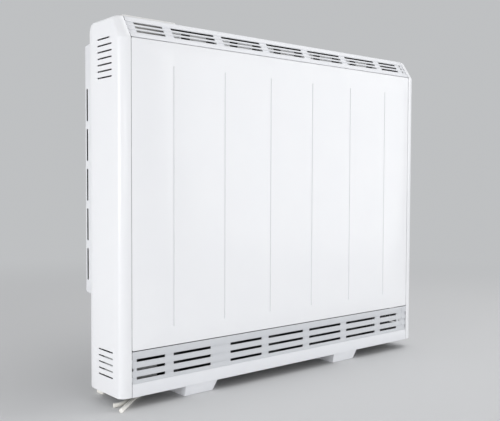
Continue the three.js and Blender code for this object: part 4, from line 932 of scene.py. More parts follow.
@dataclass
class Studio:
    """Camera, floor, backdrop and lights, placed in metres of the shared frame."""

    eye: Point = (-1.1044, -1.26115, 0.4266)
    yaw: float = 40.130
    pitch: float = -2.338
    roll: float = 0.210
    lens: float = 52.76
    sensor: float = 36.0
    far: float = 50.0
    backdrop_colour: Colour = (0.52, 0.53, 0.54, 1.0)
    floor_size: float = 24.0
    floor_lit: Colour = (0.93, 0.93, 0.93, 1.0)
    floor_seen: Colour = (0.66, 0.665, 0.67, 1.0)
    floor_roughness: float = 0.9
    floor_gloss: float = 0.1
    floor_end: tuple[float, float] = (0.9, 2.6)
    sky_colour: Colour = (0.98, 0.985, 1.0, 1.0)
    sky_strength: float = 0.6
    lights: tuple[Lamp, ...] = (
        Lamp("key_light", (2.4, -2.3, 0.9), 0.3, 2.4, 24.0),
        Lamp("side_light", (-2.3, -0.4, 0.35), 0.1, 1.3, 18.4),
        Lamp("front_light", (-0.6, -3.0, 0.3), 0.1, 1.5, 9.2),
        Lamp("top_light", (1.3, -0.5, 2.6), 0.5, 1.8, 16.5),
    )

    def build(self) -> None:
        """Makes the camera and all that surrounds the heater."""
        self.camera()
        self.floor()
        self.world()
        self.lamps()

    def camera(self) -> None:
        """Places the camera where the picture was taken from."""
        yaw, pitch, roll = (math.radians(v) for v in (self.yaw, self.pitch, self.roll))
        ahead = Vector((math.sin(yaw) * math.cos(pitch), math.cos(yaw) * math.cos(pitch), math.sin(pitch)))
        right = Vector((math.cos(yaw), -math.sin(yaw), 0.0))
        up = right.cross(ahead)
        level = math.cos(roll) * right + math.sin(roll) * up
        above = math.cos(roll) * up - math.sin(roll) * right
        data = bpy.data.cameras.new("view_camera")
        data.lens = self.lens
        data.sensor_width = self.sensor
        data.sensor_fit = "HORIZONTAL"
        data.clip_end = self.far
        camera = bpy.data.objects.new("view_camera", data)
        bpy.context.scene.collection.objects.link(camera)
        turn = Matrix((level, above, -ahead)).transposed().to_4x4()
        camera.matrix_world = Matrix.Translation(self.eye) @ turn
        bpy.context.scene.camera = camera

    def backdrop_material(self) -> bpy.types.Material:
        """Makes the material of the pale floor, which keeps shadows and fades into the backdrop.

        Returns:
            The material.
        """
        material = bpy.data.materials.new("studio_floor")
        material.use_nodes = True
        tree = material.node_tree
        shader = tree.nodes["Principled BSDF"]
        shader.inputs["Roughness"].default_value = self.floor_roughness
        shader.inputs["Specular IOR Level"].default_value = self.floor_gloss
        seen = self.seen_rays(tree)
        colour = blend_colours(tree, seen, self.floor_lit, self.floor_seen)
        tree.links.new(colour, shader.inputs["Base Color"])
        glow = add_node(tree, "Emission", Color=self.backdrop_colour, Strength=1.0)
        coords = add_node(tree, "TexCoord")
        length = add_node(tree, "VectorMath", operation="LENGTH")
        tree.links.new(coords.outputs["Object"], length.inputs[0])
        near, far = self.floor_end
        away = add_node(tree, "MapRange", interpolation_type="SMOOTHSTEP", From_Min=near, From_Max=far)
        tree.links.new(length.outputs["Value"], away.inputs["Value"])
        share = add_node(tree, "Math", operation="MULTIPLY")
        tree.links.new(away.outputs["Result"], share.inputs[0])
        tree.links.new(seen, share.inputs[1])
        mix = add_node(tree, "MixShader")
        tree.links.new(share.outputs["Value"], mix.inputs["Fac"])
        tree.links.new(shader.outputs["BSDF"], mix.inputs[1])
        tree.links.new(glow.outputs["Emission"], mix.inputs[2])
        tree.links.new(mix.outputs["Shader"], tree.nodes["Material Output"].inputs["Surface"])
        return material

    def seen_rays(self, tree: bpy.types.NodeTree) -> object:
        """Tells apart the rays by which the camera sees the backdrop, also in metal and glass.

        Args:
            tree: Node tree of a material or the world.

        Returns:
            A socket that is 1 for these rays and 0 for the others.
        """
        path = add_node(tree, "LightPath")
        total = path.outputs["Is Camera Ray"]
        for ray in ("Is Glossy Ray", "Is Transmission Ray"):
            add = add_node(tree, "Math", operation="ADD", use_clamp=True)
            tree.links.new(total, add.inputs[0])
            tree.links.new(path.outputs[ray], add.inputs[1])
            total = add.outputs["Value"]
        return total

    def floor(self) -> None:
        """Lays the floor under the heater."""
        deselect()
        bpy.ops.mesh.primitive_plane_add(size=self.floor_size, location=(0.0, 0.0, 0.0))
        plane = bpy.context.object
        plane.name = "studio_floor"
        plane.data.materials.append(self.backdrop_material())

    def world(self) -> None:
        """Sets an even surrounding light, which the camera sees as a pale backdrop."""
        world = bpy.data.worlds.new("studio_world")
        world.use_nodes = True
        bpy.context.scene.world = world
        tree = world.node_tree
        plain = tree.nodes["Background"]
        plain.inputs["Color"].default_value = self.sky_colour
        plain.inputs["Strength"].default_value = self.sky_strength
        behind = add_node(tree, "Background", Color=self.backdrop_colour, Strength=1.0)
        mix = add_node(tree, "MixShader")
        tree.links.new(self.seen_rays(tree), mix.inputs[0])
        tree.links.new(plain.outputs[0], mix.inputs[1])
        tree.links.new(behind.outputs[0], mix.inputs[2])
        tree.links.new(mix.outputs[0], tree.nodes["World Output"].inputs["Surface"])

    def lamps(self) -> None:
        """Hangs the soft area lights."""
        for lamp in self.lights:
            data = bpy.data.lights.new(lamp.name, "AREA")
            data.shape = "DISK"
            data.size = lamp.size
            data.energy = lamp.power
            obj = bpy.data.objects.new(lamp.name, data)
            obj.location = lamp.spot
            ahead = Vector((0.0, 0.0, lamp.aim)) - Vector(lamp.spot)
            obj.rotation_euler = ahead.to_track_quat("-Z", "Y").to_euler()
            bpy.context.scene.collection.objects.link(obj)


# ------------------------------------------------------------------------------------- cables


def smooth_route(points: Sequence[Vector], steps: int) -> list[Vector]:
    """Runs a smooth curve through points, with even knots between uneven distances.

    Args:
        points: The points that it passes through.
        steps: Steps between two points.

    Returns:
        The points of the curve.
    """
    ends = [points[0] * 2 - points[1], *points, points[-1] * 2 - points[-2]]
    route: list[Vector] = []
    for before, start, end, after in zip(ends, ends[1:], ends[2:], ends[3:]):
        knots = [0.0]
        for first, second in ((before, start), (start, end), (end, after)):
            knots.append(knots[-1] + math.sqrt((second - first).length))
        for step in range(steps):
            t = knots[1] + (knots[2] - knots[1]) * step / steps
            a1 = before.lerp(start, t / knots[1])
            a2 = start.lerp(end, (t - knots[1]) / (knots[2] - knots[1]))
            a3 = end.lerp(after, (t - knots[2]) / (knots[3] - knots[2]))
            b1 = a1.lerp(a2, t / knots[2])
            b2 = a2.lerp(a3, (t - knots[1]) / (knots[3] - knots[1]))
            route.append(b1.lerp(b2, (t - knots[1]) / (knots[2] - knots[1])))
    route.append(points[-1].copy())
    return route


@dataclass
class SupplyCables:
    """The two supply cables that leave the grip, bend round and lie on the floor."""

    radius: float = 4.0
    exit_x: float = 42.0
    straight: float = 5.0
    grip_y: float = 135.1
    bend: float = 36.0
    spacing: float = 8.4
    height: float = -17.9
    turn_step: int = 15
    turn_end: int = -45
    steps: int = 6
    sides: int = 5
    ends: dict[str, list[tuple[float, float]]] = field(
        default_factory=lambda: {
            "supply_cable_left": [
                (55.0, 59.3),
                (45.6, 50.6),
                (35.2, 42.0),
                (25.0, 35.6),
                (14.0, 32.4),
                (3.1, 33.6),
            ],
            "supply_cable_front": [(58.6, 51.3), (44.4, 38.6), (30.0, 25.6), (14.5, 11.8), (-2.0, -2.8)],
        }
    )

    def route(self, name: str) -> list[Vector]:
        """Gives the points that a cable runs through.

        Args:
            name: CAD node of the cable.

        Returns:
            The points, in metres.
        """
        bend = self.bend + (self.spacing if name == "supply_cable_front" else 0.0)
        x = self.exit_x + self.straight
        y = self.grip_y - self.bend - self.spacing / 2
        points = [(self.exit_x + GAP, y + bend), (self.exit_x + self.straight / 2, y + bend)]
        for degrees in range(90, self.turn_end - 1, -self.turn_step):
            turn = math.radians(degrees)
            points.append((x + bend * math.cos(turn), y + bend * math.sin(turn)))
        return [place((px, py, self.height)) for px, py in [*points, *self.ends[name]]]

    def build(self) -> None:
        """Makes both cables."""
        for name in self.ends:
            self.cable(name)

    def cable(self, name: str) -> None:
        """Args:
            name: CAD node of the cable.
        """
        line = smooth_route(self.route(name), self.steps)
        data = bpy.data.curves.new(name + "_line", "CURVE")
        data.dimensions = "3D"
        data.bevel_depth = self.radius * MM
        data.bevel_resolution = self.sides
        data.use_fill_caps = True
        spline = data.splines.new("POLY")
        spline.points.add(len(line) - 1)
        for point, at in zip(spline.points, line):
            point.co = (*at, 1.0)
        obj = bpy.data.objects.new(name + "_sheath", data)
        bpy.context.scene.collection.objects.link(obj)
        dress(obj, CABLE)
        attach(obj, "heater")
        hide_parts(name)


@dataclass
class CordGrip:
    """The moulded grip on the rear face, with a ribbed boot round both cables."""

    plate: tuple[Point, Point] = ((24.4, 119.3, -4.0), (49.4, 121.9, 16.0))
    web: tuple[Point, Point] = ((27.5, 119.3, -13.0), (49.4, 124.3, -1.0))
    body: tuple[Point, Point] = ((27.0, 121.5, -21.6), (33.0, 146.6, -7.5))
    boot: tuple[Point, Point] = ((31.0, 122.7, -21.9), (42.0, 147.5, -9.4))
    boot_end: tuple[float, float, float] = (125.9, 144.3, -12.7)
    body_corner: float = 4.5
    boot_corner: float = 3.4
    corner_steps: int = 6
    ribs: tuple[float, ...] = (34.5, 37.5, 40.5)
    rib_width: float = 1.6
    rib_rise: float = 0.5
    screws: tuple[Point, ...] = ((29.0, 122.4, 8.0), (45.0, 122.4, 8.0))
    screw_size: tuple[float, float] = (2.6, 1.4)

    def build(self) -> None:
        """Makes the plate with two screws, the web, the body and the tapering boot with its ribs."""
        obj = add_block("cord_grip_moulding", *self.body)
        left, top = self.body[0][0] + 1, self.body[1][2] - 0.5
        low = self.body[0][2] + 1
        with Bench(obj) as bench:
            bench.pick("EDGE", lambda at, run: at.z > low and at.x < left or at.z > top)
            bench.bevel(self.body_corner, self.corner_steps)
        parts = [add_block("plate", *self.plate), add_block("web", *self.web), self.tapered_boot()]
        for part in [obj, *parts]:
            round_edges(part, 0.5, 2)
        parts += [self.rib(x) for x in self.ribs]
        merge(obj, parts)
        soften(obj)
        hand_in(obj, CABLE, "cable_sheath", "heater", "cord_grip")
        for centre in self.screws:
            screw = add_bar("grip_screw", centre, *self.screw_size, Axis.Y, 20)
            round_edges(screw, 0.4, 3, 50.0)
            hand_in(screw, PLATED, "plated_steel", "heater")

    def tapered_boot(self) -> bpy.types.Object:
        """Makes the boot from a block whose right end is drawn in.

        Returns:
            The boot.
        """
        obj = add_block("boot", *self.boot)
        front, rear, top = self.boot_end
        middle = (Vector(self.boot[0]) + Vector(self.boot[1])) / 2
        with Bench(obj) as bench:
            bench.pick("VERT", lambda at, _: at.x > middle.x and at.y < middle.y)
            bench.move(y=front - self.boot[0][1])
            bench.pick("VERT", lambda at, _: at.x > middle.x and at.y > middle.y)
            bench.move(y=rear - self.boot[1][1])
            bench.pick("VERT", lambda at, _: at.x > middle.x and at.z > middle.z)
            bench.move(z=top - self.boot[1][2])
            self.round_shoulders(bench)
        return obj

    def round_shoulders(self, bench: Bench) -> None:
        """Rounds the two upper edges that run along the boot.

        Args:
            bench: The boot or a rib, in edit mode.
        """
        low = self.boot[0][2] + 1
        bench.pick("EDGE", lambda at, run: at.z > low and abs(run.x) > 0.9)
        bench.bevel(self.boot_corner, self.corner_steps)

    def rib(self, x: float) -> bpy.types.Object:
        """Makes one of the raised ribs round the boot.

        Args:
            x: Place of its middle.

        Returns:
            The new piece.
        """
        share = (x - self.boot[0][0]) / (self.boot[1][0] - self.boot[0][0])
        inset = share * (self.boot_end[0] - self.boot[0][1]) - self.rib_rise
        top = self.boot[1][2] + share * (self.boot_end[2] - self.boot[1][2]) + self.rib_rise
        half = self.rib_width / 2
        low = (x - half, self.boot[0][1] + inset, self.boot[0][2])
        obj = add_block("rib", low, (x + half, self.boot[1][1] - inset, top))
        with Bench(obj) as bench:
            self.round_shoulders(bench)
        round_edges(obj, 0.3, 2, 50.0)
        return obj


# ------------------------------------------------------------------------------------- side panels


@dataclass
class SidePanels:
    """The two side panels: a wide rounded edge runs up the front, over the slope and along the top."""

    edge_width: float = 19.0
    edge_front: float = 12.0
    edge_top: float = 8.0
    rear_width: float = 2.6
    rear_depth: float = 22.0
    rear_radius: float = 17.0
    slot_height: float = 3.0
    slot_pitch: float = 12.0
    slot_front: float = 31.0
    slot_rear: float = 85.0
    top_slot_front: float = 38.0
    upper_slots: tuple[float, int] = (596.0, 7)
    lower_slots: tuple[float, int] = (34.0, 5)
    slot_cut: float = 6.0
    foot_radii: tuple[float, float] = (1.5, 3.0)
    slope_radii: tuple[float, float] = (5.0, 8.0)
    least_radius: float = 4.0
    corner_steps: tuple[int, ...] = (2, 3, 10, 5, 6)
    stations: int = 16

    def build(self) -> None:
        """Makes both panels."""
        for name, mirrored in (("left_side_panel", False), ("right_side_panel", True)):
            obj = self.shell(name + "_shell", mirrored)
            carve(obj, self.cutters(mirrored))
            soften(obj, 28.0)
            hand_in(obj, WHITE_PAINT, "white_paint", "heater", name)
            # Only the left panel gets painted shade on its inside and cut edges, so that its seams and slots
            # read dark.
            if not mirrored:
                paint_shade(obj, PAINTED_SHADE, self.is_shaded_inside)

    def is_shaded_inside(self, at: Vector, normal: Vector) -> bool:
        """Tells whether a face of the left panel lies on its inside or on its cut edges, where painted shade
        goes.

        Args:
            at: Middle of the face in the case frame.
            normal: Normal of the face.

        Returns:
            True for the inside and cut edges, which get painted shade.
        """
        if normal.x > 0.5:
            return True
        return at.x > SHEET and normal.dot(at - Vector((at.x, CASE_DEPTH / 2, CASE_HEIGHT / 2))) < 0

    def inset(self, x: float, width: float, depth: float) -> float:
        """Gives how far an elliptical edge has drawn in.

        Args:
            x: Distance from the side.
            width: Width of the rounded edge.
            depth: How far it draws in at the side itself.

        Returns:
            The inset in millimetres.
        """
        if x >= width:
            return 0.0
        rise = 1 - x / width
        return depth * (1 - math.sqrt(1 - rise * rise))

    def outline(self, x: float) -> list[tuple[float, float]]:
        """Gives the rounded side outline.

        Args:
            x: Distance from the side.

        Returns:
            The outline's points as y and z.
        """
        front = self.inset(x, self.edge_width, self.edge_front)
        top = self.inset(x, self.edge_width, self.edge_top)
        rear = CASE_DEPTH - self.inset(x, self.rear_width, self.rear_depth)
        crest = CASE_HEIGHT - top
        length = math.hypot(CHAMFER_DEPTH, CHAMFER_HEIGHT)
        rise, run = CHAMFER_HEIGHT / length, CHAMFER_DEPTH / length
        inward = max(front, top)
        base = Vector((inward * rise, CHAMFER_FOOT - inward * run))
        corners = [
            (front, 0.0),
            (rear, 0.0),
            (rear, crest),
            (base.x + (crest - base.y) * run / rise, crest),
            (front, base.y + (front - base.x) * rise / run),
        ]
        rear_radius = max(self.rear_radius - min(CASE_DEPTH - rear, top), self.least_radius)
        return self.rounded(corners, [*self.foot_radii, rear_radius, *self.slope_radii], self.corner_steps)

    def rounded(
        self, corners: Sequence[tuple[float, float]], radii: Sequence[float], steps: Sequence[int]
    ) -> list[tuple[float, float]]:
        """Replaces each corner of a polygon by an arc.

        Args:
            corners: The polygon's corners.
            radii: Radius of the arc at each corner.
            steps: Steps of each arc.

        Returns:
            The points of the rounded outline.
        """
        points = []
        for i, corner in enumerate(corners):
            at = Vector(corner)
            back = (Vector(corners[i - 1]) - at).normalized()
            ahead = (Vector(corners[(i + 1) % len(corners)]) - at).normalized()
            half = back.angle(ahead) / 2
            centre = at + (back + ahead).normalized() * radii[i] / math.sin(half)
            start = at + back * radii[i] / math.tan(half) - centre
            end = at + ahead * radii[i] / math.tan(half) - centre
            sweep = start.angle_signed(end)
            for k in range(steps[i] + 1):
                turned = start.copy()
                turned.rotate(Matrix.Rotation(-sweep * k / steps[i], 2))
                points.append((centre.x + turned.x, centre.y + turned.y))
        return points

    def shell(self, name: str, mirrored: bool) -> bpy.types.Object:
        """Makes one panel: a ring extruded from its inner edge out to the side, closed and thickened.

        Args:
            name: Name of the piece.
            mirrored: True for the right panel.

        Returns:
            The new piece.
        """
        depths = [SIDE_STRIP]
        for k in range(1, self.stations + 1):
            depths.append(self.edge_width * (1 - math.sin(math.pi / 2 * k / self.stations)))
        depths[-1] = 0.0
        ring = self.outline(depths[0])
        deselect()
        bpy.ops.mesh.primitive_circle_add(vertices=len(ring), radius=0.1, fill_type="NOTHING")
        obj = bpy.context.object
        obj.name = name
        with Bench(obj) as bench:
            bench.pick_all()
            for number, depth in enumerate(depths):
                if number:
                    bpy.ops.mesh.extrude_region_move()
                self.set_ring(obj, number, depth, mirrored)
            bpy.ops.mesh.edge_face_add()
            bench.pick_all()
            bpy.ops.mesh.normals_make_consistent(inside=False)
        modify(obj, "SOLIDIFY", thickness=SHEET * MM, offset=-1.0, use_even_offset=True)
        return obj

    def set_ring(self, obj: bpy.types.Object, number: int, depth: float, mirrored: bool) -> None:
        """Lays one ring of vertices on the outline at its depth.

        Args:
            obj: The panel, in edit mode.
            number: Number of the ring, from the inner one.
            depth: Its distance from the side.
            mirrored: True for the right panel.
        """
        mesh = bmesh.from_edit_mesh(obj.data)
        mesh.verts.ensure_lookup_table()
        x = CASE_WIDTH - depth if mirrored else depth
        outline = self.outline(depth)
        for vertex, (y, z) in zip(mesh.verts[number * len(outline) :], outline):
            vertex.co = place((x, y, z))
        bmesh.update_edit_mesh(obj.data)

    def cutters(self, mirrored: bool) -> list[bpy.types.Object]:
        """Makes the cutting bodies of the cooling slots.

        Args:
            mirrored: True for the right panel.

        Returns:
            The cutting bodies.
        """
        x = CASE_WIDTH - 1.0 if mirrored else 1.0
        tools = []
        for lowest, count in (self.upper_slots, self.lower_slots):
            for i in range(count):
                top = lowest == self.upper_slots[0] and i == count - 1
                front = self.top_slot_front if top else self.slot_front
                centre = (x, (front + self.slot_rear) / 2, lowest + i * self.slot_pitch)
                size = (self.slot_rear - front, self.slot_height, self.slot_cut)
                tools.append(add_slot_cutter("slot_tool", centre, *size, Axis.X, Axis.Y))
        return tools


# ------------------------------------------------------------------------------------- panels


def fold_sheet(
    name: str, profile: Sequence[tuple[float, float]], low: float, high: float, run: Axis
) -> bpy.types.Object:
    """Folds a strip of sheet along a profile.

    Args:
        name: Name of the piece.
        profile: Points of the fold, seen along the run; the sheet lies on the left of the path.
        low: Start of the run in millimetres.
        high: End of the run.
        run: X for a profile of y and z, Z for a profile of x and y.

    Returns:
        The new piece.
    """
    ends = [(low, *profile[0]), (high, *profile[0])]
    if run is Axis.Z:
        ends = [(*profile[0], low), (*profile[0], high)]
    deselect()
    bpy.ops.mesh.primitive_plane_add(size=0.1)
    obj = bpy.context.object
    obj.name = name
    with Bench(obj) as bench:
        bench.pick("VERT", lambda at, _: at.y > ORIGIN.y)
        bench.drop("VERT")
        mesh = bmesh.from_edit_mesh(obj.data)
        for vertex, at in zip(mesh.verts, ends):
            vertex.co = place(at)
        bmesh.update_edit_mesh(obj.data)
        bpy.ops.mesh.select_mode(type="EDGE")
        bench.pick_all()
        for (u0, v0), (u1, v1) in zip(profile, profile[1:]):
            if run is Axis.Z:
                bench.extrude(x=u1 - u0, y=v1 - v0)
            else:
                bench.extrude(y=u1 - u0, z=v1 - v0)
    modify(obj, "SOLIDIFY", thickness=SHEET * MM, offset=1.0, use_even_offset=True)
    return obj


def add_tabs(front: float, rear: float, z: float) -> list[bpy.types.Object]:
    """Adds a pair of tabs that reach behind the side panels' front strips.

    Args:
        front: y of the tabs' front face.
        rear: y of their rear face.
        z: Height of their middle.

    Returns:
        The two tabs.
    """
    half = TAB_HEIGHT / 2
    tabs = []
    for x0, x1 in (
        (SIDE_STRIP - TAB_REACH, INNER_LEFT + TAB_OVERLAP),
        (INNER_RIGHT - TAB_OVERLAP, CASE_WIDTH - SIDE_STRIP + TAB_REACH),
    ):
        tab = add_block("tab", (x0, front, z - half), (x1, rear, z + half))
        round_edges(tab, 0.2, 1)
        tabs.append(tab)
    return tabs


@dataclass
class FrontPanel:
    """The large flat front with its six upright pressed grooves and folded edges."""

    fold: float = 11.0
    groove_first: float = 116.4
    groove_pitch: float = 124.3
    groove_count: int = 6
    groove_width: float = 3.2
    groove_depth: float = 1.5
    groove_slope: float = 0.36
    low: float = LOWER_SEAM + LOWER_SEAM_WIDTH / 2
    high: float = CHAMFER_FOOT - SEAM / 2
    groove_low: float = low + 36.0
    groove_high: float = high - 43.5
    tab_shares: tuple[float, ...] = (0.06, 0.36, 0.64, 0.94)
    corner: float = 2.8
    edge: float = 0.7

    def build(self) -> None:
        """Makes the panel: an open box with bevelled edges, sliced and pressed, with its tabs."""
        low, high = self.low, self.high
        obj = add_block("front_panel_skin", (INNER_LEFT, 0.0, low), (INNER_RIGHT, self.fold, high))
        with Bench(obj) as bench:
            bench.pick("FACE", lambda at, n: n.y > 0.9)
            bench.drop()
            bench.pick("EDGE", lambda at, run: abs(run.y) > 0.9)
            bench.bevel(self.corner, 3)
            bench.pick("EDGE", lambda at, run: abs(at.y) < 1e-3)
            bench.bevel(self.edge, 3)
            bench.slice(2, (self.groove_low, self.groove_high))
            for x in self.grooves():
                bench.slice(0, (x - self.groove_width / 2, x + self.groove_width / 2))
            bench.pick("FACE", self.in_groove)
            slope = self.groove_width * self.groove_slope
            bpy.ops.mesh.inset(thickness=slope * MM, depth=-self.groove_depth * MM, use_individual=True)
        modify(obj, "SOLIDIFY", thickness=SHEET * MM, offset=-1.0, use_even_offset=True)
        round_edges(obj, 0.25, 2, 25.0)
        tabs = []
        for share in self.tab_shares:
            z = low + share * (high - low)
            tabs += add_tabs(SHEET + GAP, 2 * SHEET + GAP, z)
        merge(obj, tabs)
        soften(obj, 40.0)
        hand_in(obj, WHITE_PAINT, "white_paint", "heater", "front_panel")
        # Painted shade on the folds, returns and tabs behind the front face, so that the seams read dark.
        paint_shade(obj, PAINTED_SHADE, lambda at, normal: at.y > 0.9 and normal.y > -0.9 or at.y > 2 * SHEET)

    def grooves(self) -> list[float]:
        """Gives the middle of each groove."""
        return [self.groove_first + i * self.groove_pitch for i in range(self.groove_count)]

    def in_groove(self, at: Vector, normal: Vector) -> bool:
        """Tells whether a face lies in one of the grooves."""
        upright = self.groove_low < at.z < self.groove_high
        return normal.y < -0.9 and upright and any(abs(at.x - x) < 1.0 for x in self.grooves())


# ------------------------------------------------------------------------------------- grilles


@dataclass
class LouvredGrille:
    """A louvred sheet: rows of slots, each under the lip of a ledge, with ramps between them."""

    name: str
    height: float
    rows: list[float]
    slot_height: float
    first_column: float
    lip: float = 1.8
    ledge: float = 0.35
    ramp: float = 7.0
    thickness: float = 2.2
    pitch: float = 122.9
    column: float = 103.6
    end_column: float = 63.5
    long_columns: int = 5
    blank: tuple[float, float] | None = None

    def columns(self) -> list[tuple[float, float]]:
        """Gives the left and right end of each column of slots, in the case frame.

        Returns:
            The lowest and highest x of each column.
        """
        first = (self.first_column, self.first_column + self.end_column)
        start = first[1] + self.pitch - self.column
        spans = [first]
        for i in range(self.long_columns):
            spans.append((start + i * self.pitch, start + i * self.pitch + self.column))
        last = start + self.long_columns * self.pitch
        spans.append((last, last + self.end_column))
        if self.blank:
            spans[1] = (spans[1][0], self.blank[0])
            spans[2] = (self.blank[1], spans[2][1])
        return spans

    def flat(self) -> bpy.types.Object:
        """Makes the louvred sheet upright, its lower edge at the underside of the case.

        Returns:
            The sheet, before it is lifted or laid on the slope.
        """
        deselect()
        width = (INNER_RIGHT - INNER_LEFT) * MM
        middle = place(((INNER_LEFT + INNER_RIGHT) / 2, 0.0, self.height / 2))
        bpy.ops.mesh.primitive_plane_add(size=1, location=middle, rotation=(math.pi / 2, 0.0, 0.0))
        obj = bpy.context.object
        obj.name = self.name
        obj.scale = (width, self.height * MM, 1.0)
        settle(obj)
        half = self.slot_height / 2
        with Bench(obj) as bench:
            for row in self.rows:
                bench.slice(2, (row - half, row + half - self.ledge, row + half))
            bench.slice(2, (self.rows[0] - half - self.ramp,))
            bench.slice(0, [x for span in self.columns() for x in span])
            for row in self.rows:
                bench.pick("VERT", lambda at, _: row - half - 0.01 < at.z < row + half - self.ledge + 0.01)
                bench.move(y=self.lip)
            bench.pick("FACE", self.in_slot)
            bench.drop()
            bench.pick_all()
            bpy.ops.mesh.normals_make_consistent(inside=False)
        self.face_forward(obj)
        modify(obj, "SOLIDIFY", thickness=self.thickness * MM, offset=-1.0, use_even_offset=False)
        return obj

    def face_forward(self, obj: bpy.types.Object) -> None:
        """Turns the sheet's faces so that they look out of the front.

        Args:
            obj: The sheet, still without thickness.
        """
        with Bench(obj) as bench:
            mesh = bmesh.from_edit_mesh(obj.data)
            if sum(face.normal.y * face.calc_area() for face in mesh.faces) > 0:
                bench.pick_all()
                bpy.ops.mesh.flip_normals()

    def in_slot(self, at: Vector, _: Vector) -> bool:
        """Tells whether a face lies in one of the slots.

        Args:
            at: Middle of the face in the case frame.

        Returns:
            True inside a slot.
        """
        half = self.slot_height / 2
        across = any(low < at.x < high for low, high in self.columns())
        return across and any(row - half < at.z < row + half - self.ledge for row in self.rows)


@dataclass
class LowerGrille:
    """The grille at the bottom of the front, with its plain stretch and its fixing screw."""

    slot_height: float = 5.8
    first_row: float = 35.3
    row_pitch: float = 16.6
    first_column: float = 33.9
    blank: tuple[float, float] = (207.0, 257.6)
    end_line: float = 812.3
    line_size: tuple[float, float] = (0.9, 1.3)
    line_margin: float = 6.0
    notch_size: tuple[float, float] = (3.2, 5.6)
    screw_x: float = 805.4
    screw_hole: float = 3.2
    screw_front: float = 0.9
    screw_length: float = 11.0
    recess_arm: float = 0.62
    recess_half: float = 0.45

    def build(self) -> None:
        """Makes the grille and its screw."""
        base = PLINTH_HEIGHT + GAP
        rows = [self.first_row + i * self.row_pitch - base for i in range(3)]
        louvres = LouvredGrille(
            "lower_grille_louvres",
            LOWER_SEAM - LOWER_SEAM_WIDTH / 2 - base,
            rows,
            self.slot_height,
            self.first_column,
            blank=self.blank,
        )
        obj = louvres.flat()
        obj.location.z = base * MM
        settle(obj)
        middle = self.first_row + self.row_pitch
        low, high = base + self.line_margin, LOWER_SEAM - self.line_margin
        width, depth = self.line_size
        line = add_block("line_tool", (self.end_line, -1.0, low), (self.end_line + width, depth, high))
        reach, half = self.notch_size[0], self.notch_size[1] / 2
        corners = (INNER_LEFT - 1, -1.0, middle - half), (INNER_LEFT + reach, 7.0, middle + half)
        hole = add_bar("hole_tool", (self.screw_x, 2.0, middle), self.screw_hole, 9.0, Axis.Y)
        carve(obj, [line, add_block("notch_tool", *corners), hole])
        round_edges(obj, 0.3, 2, 30.0)
        soften(obj)
        # Painted shade: the darker louvre paint, and the dark coat on the rear faces and the left cut end.
        hand_in(obj, SHADED_LOUVRE_PAINT, "grille_paint", "heater", "lower_grille")
        paint_shade(obj, PAINTED_SHADE, lambda at, normal: normal.y > 0.6 or is_shaded_left_end(at, normal))
        self.screw(middle)

    def screw(self, z: float) -> None:
        """Makes the cross recessed fixing screw.

        Args:
            z: Height of its axis.
        """
        radius = self.screw_hole - GAP
        middle = (self.screw_x, self.screw_front + self.screw_length / 2, z)
        obj = add_bar("grille_screw_head", middle, radius, self.screw_length, Axis.Y, 32)
        with Bench(obj) as bench:
            bench.pick("EDGE", lambda at, run: at.y < 1.0)
            bench.bevel(0.5, 3)
        arm, half = radius * self.recess_arm, self.recess_half
        tools = []
        for turn in (math.pi / 4, -math.pi / 4):
            tool = add_block("recess_tool", (-arm, -0.4, -half), (arm, 0.9, half))
            centre = place((0.0, 0.0, 0.0))
            spin = Matrix.Translation(centre) @ Matrix.Rotation(turn, 4, "Y") @ Matrix.Translation(-centre)
            tool.matrix_world = Matrix.Translation(Vector((self.screw_x, 1.2, z)) * MM) @ spin
            settle(tool)
            tools.append(tool)
        carve(obj, tools, crossing=True)
        soften(obj)
        hand_in(obj, PLATED, "plated_steel", "heater", "grille_screw")


